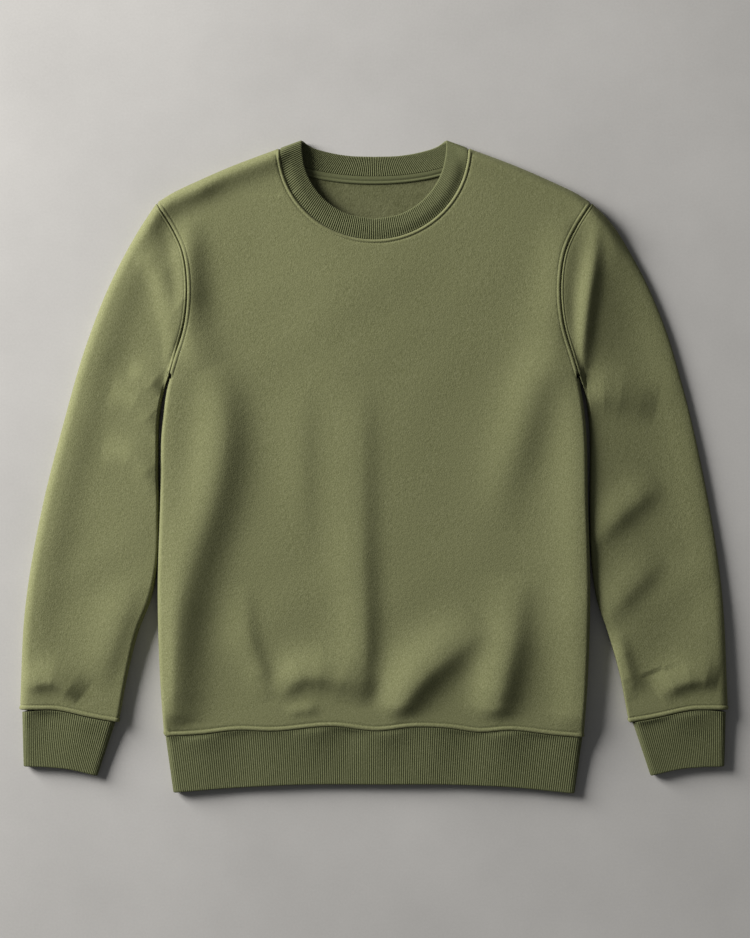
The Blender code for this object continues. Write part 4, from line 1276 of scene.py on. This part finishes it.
class SWEATSHIRT_OT_stage(bpy.types.Operator):
    """Set up the floor, the soft lights and the camera"""
    bl_idname = "sweatshirt.stage"
    bl_label = "Floor, lights and camera"

    def execute(self, context):
        studio = context.scene.sweatshirt_studio
        scene = context.scene
        low, high = CAD_BOX
        centre = Vector(((low.x + high.x) / 2, (low.y + high.y) / 2, 0.0))

        bpy.ops.mesh.primitive_circle_add(vertices=96, radius=14.0, fill_type="NGON")
        floor = context.object
        floor.name = "floor"
        floor.data.materials.append(floor_material(studio.floor_colour))

        key_data = bpy.data.lights.new("key softbox", "AREA")
        key_data.shape = "SQUARE"
        key_data.size = studio.key_size
        key_data.energy = studio.key_power
        key_data.color = (1.0, 0.985, 0.96)
        key = bpy.data.objects.new("key softbox", key_data)
        level = math.cos(studio.key_elevation)
        direction = Vector((level * math.cos(studio.key_azimuth), level * math.sin(studio.key_azimuth),
                            math.sin(studio.key_elevation)))
        key.location = centre + direction * studio.key_distance
        key.rotation_euler = direction.to_track_quat("Z", "Y").to_euler()
        scene.collection.objects.link(key)

        world = bpy.data.worlds.new("studio")
        world.use_nodes = True
        tree = world.node_tree
        background = tree.nodes["Background"]
        background.inputs["Color"].default_value = (0.96, 0.98, 1.0, 1.0)
        background.inputs["Strength"].default_value = studio.fill_strength
        seen = tree.nodes.new("ShaderNodeBackground")
        seen.inputs["Color"].default_value = (0.50, 0.50, 0.49, 1.0)
        path = tree.nodes.new("ShaderNodeLightPath")
        choice = tree.nodes.new("ShaderNodeMixShader")
        tree.links.new(path.outputs["Is Camera Ray"], choice.inputs["Fac"])
        tree.links.new(background.outputs["Background"], choice.inputs[1])
        tree.links.new(seen.outputs["Background"], choice.inputs[2])
        tree.links.new(choice.outputs["Shader"], tree.nodes["World Output"].inputs["Surface"])
        scene.world = world

        camera_data = bpy.data.cameras.new("camera")
        camera_data.sensor_width = 36.0
        camera_data.lens = camera_data.sensor_width * studio.camera_height / studio.view_height
        camera = bpy.data.objects.new("camera", camera_data)
        camera.location = (0.0011, -0.0016, studio.camera_height)
        scene.collection.objects.link(camera)
        scene.camera = camera
        scene.view_settings.view_transform = "Standard"
        return {"FINISHED"}


class SWEATSHIRT_PT_panel(bpy.types.Panel):
    """Lists the steps in the sidebar"""
    bl_idname = "SWEATSHIRT_PT_panel"
    bl_label = "Crewneck Sweatshirt"
    bl_space_type = "VIEW_3D"
    bl_region_type = "UI"
    bl_category = "Sweatshirt"

    def draw(self, context):
        layout = self.layout
        for operator in STEPS:
            layout.operator(operator.bl_idname)
        for group in (context.scene.sweatshirt, context.scene.sweatshirt_studio):
            box = layout.box()
            for name in group.bl_rna.properties.keys():
                if name not in ("rna_type", "name"):
                    box.prop(group, name)


STEPS = (SWEATSHIRT_OT_body, SWEATSHIRT_OT_sleeves, SWEATSHIRT_OT_cuffs, SWEATSHIRT_OT_hem,
         SWEATSHIRT_OT_neck, SWEATSHIRT_OT_stage)
CLASSES = (SweatshirtSettings, StudioSettings) + STEPS + (SWEATSHIRT_PT_panel,)


def register():
    for item in CLASSES:
        bpy.utils.register_class(item)
    bpy.types.Scene.sweatshirt = bpy.props.PointerProperty(type=SweatshirtSettings)
    bpy.types.Scene.sweatshirt_studio = bpy.props.PointerProperty(type=StudioSettings)


def unregister():
    del bpy.types.Scene.sweatshirt_studio
    del bpy.types.Scene.sweatshirt
    for item in reversed(CLASSES):
        bpy.utils.unregister_class(item)


def main():
    register()
    bpy.ops.sweatshirt.body()
    bpy.ops.sweatshirt.sleeves()
    bpy.ops.sweatshirt.cuffs()
    bpy.ops.sweatshirt.hem()
    bpy.ops.sweatshirt.neck()
    bpy.ops.sweatshirt.stage()


if __name__ == "__main__":
    main()
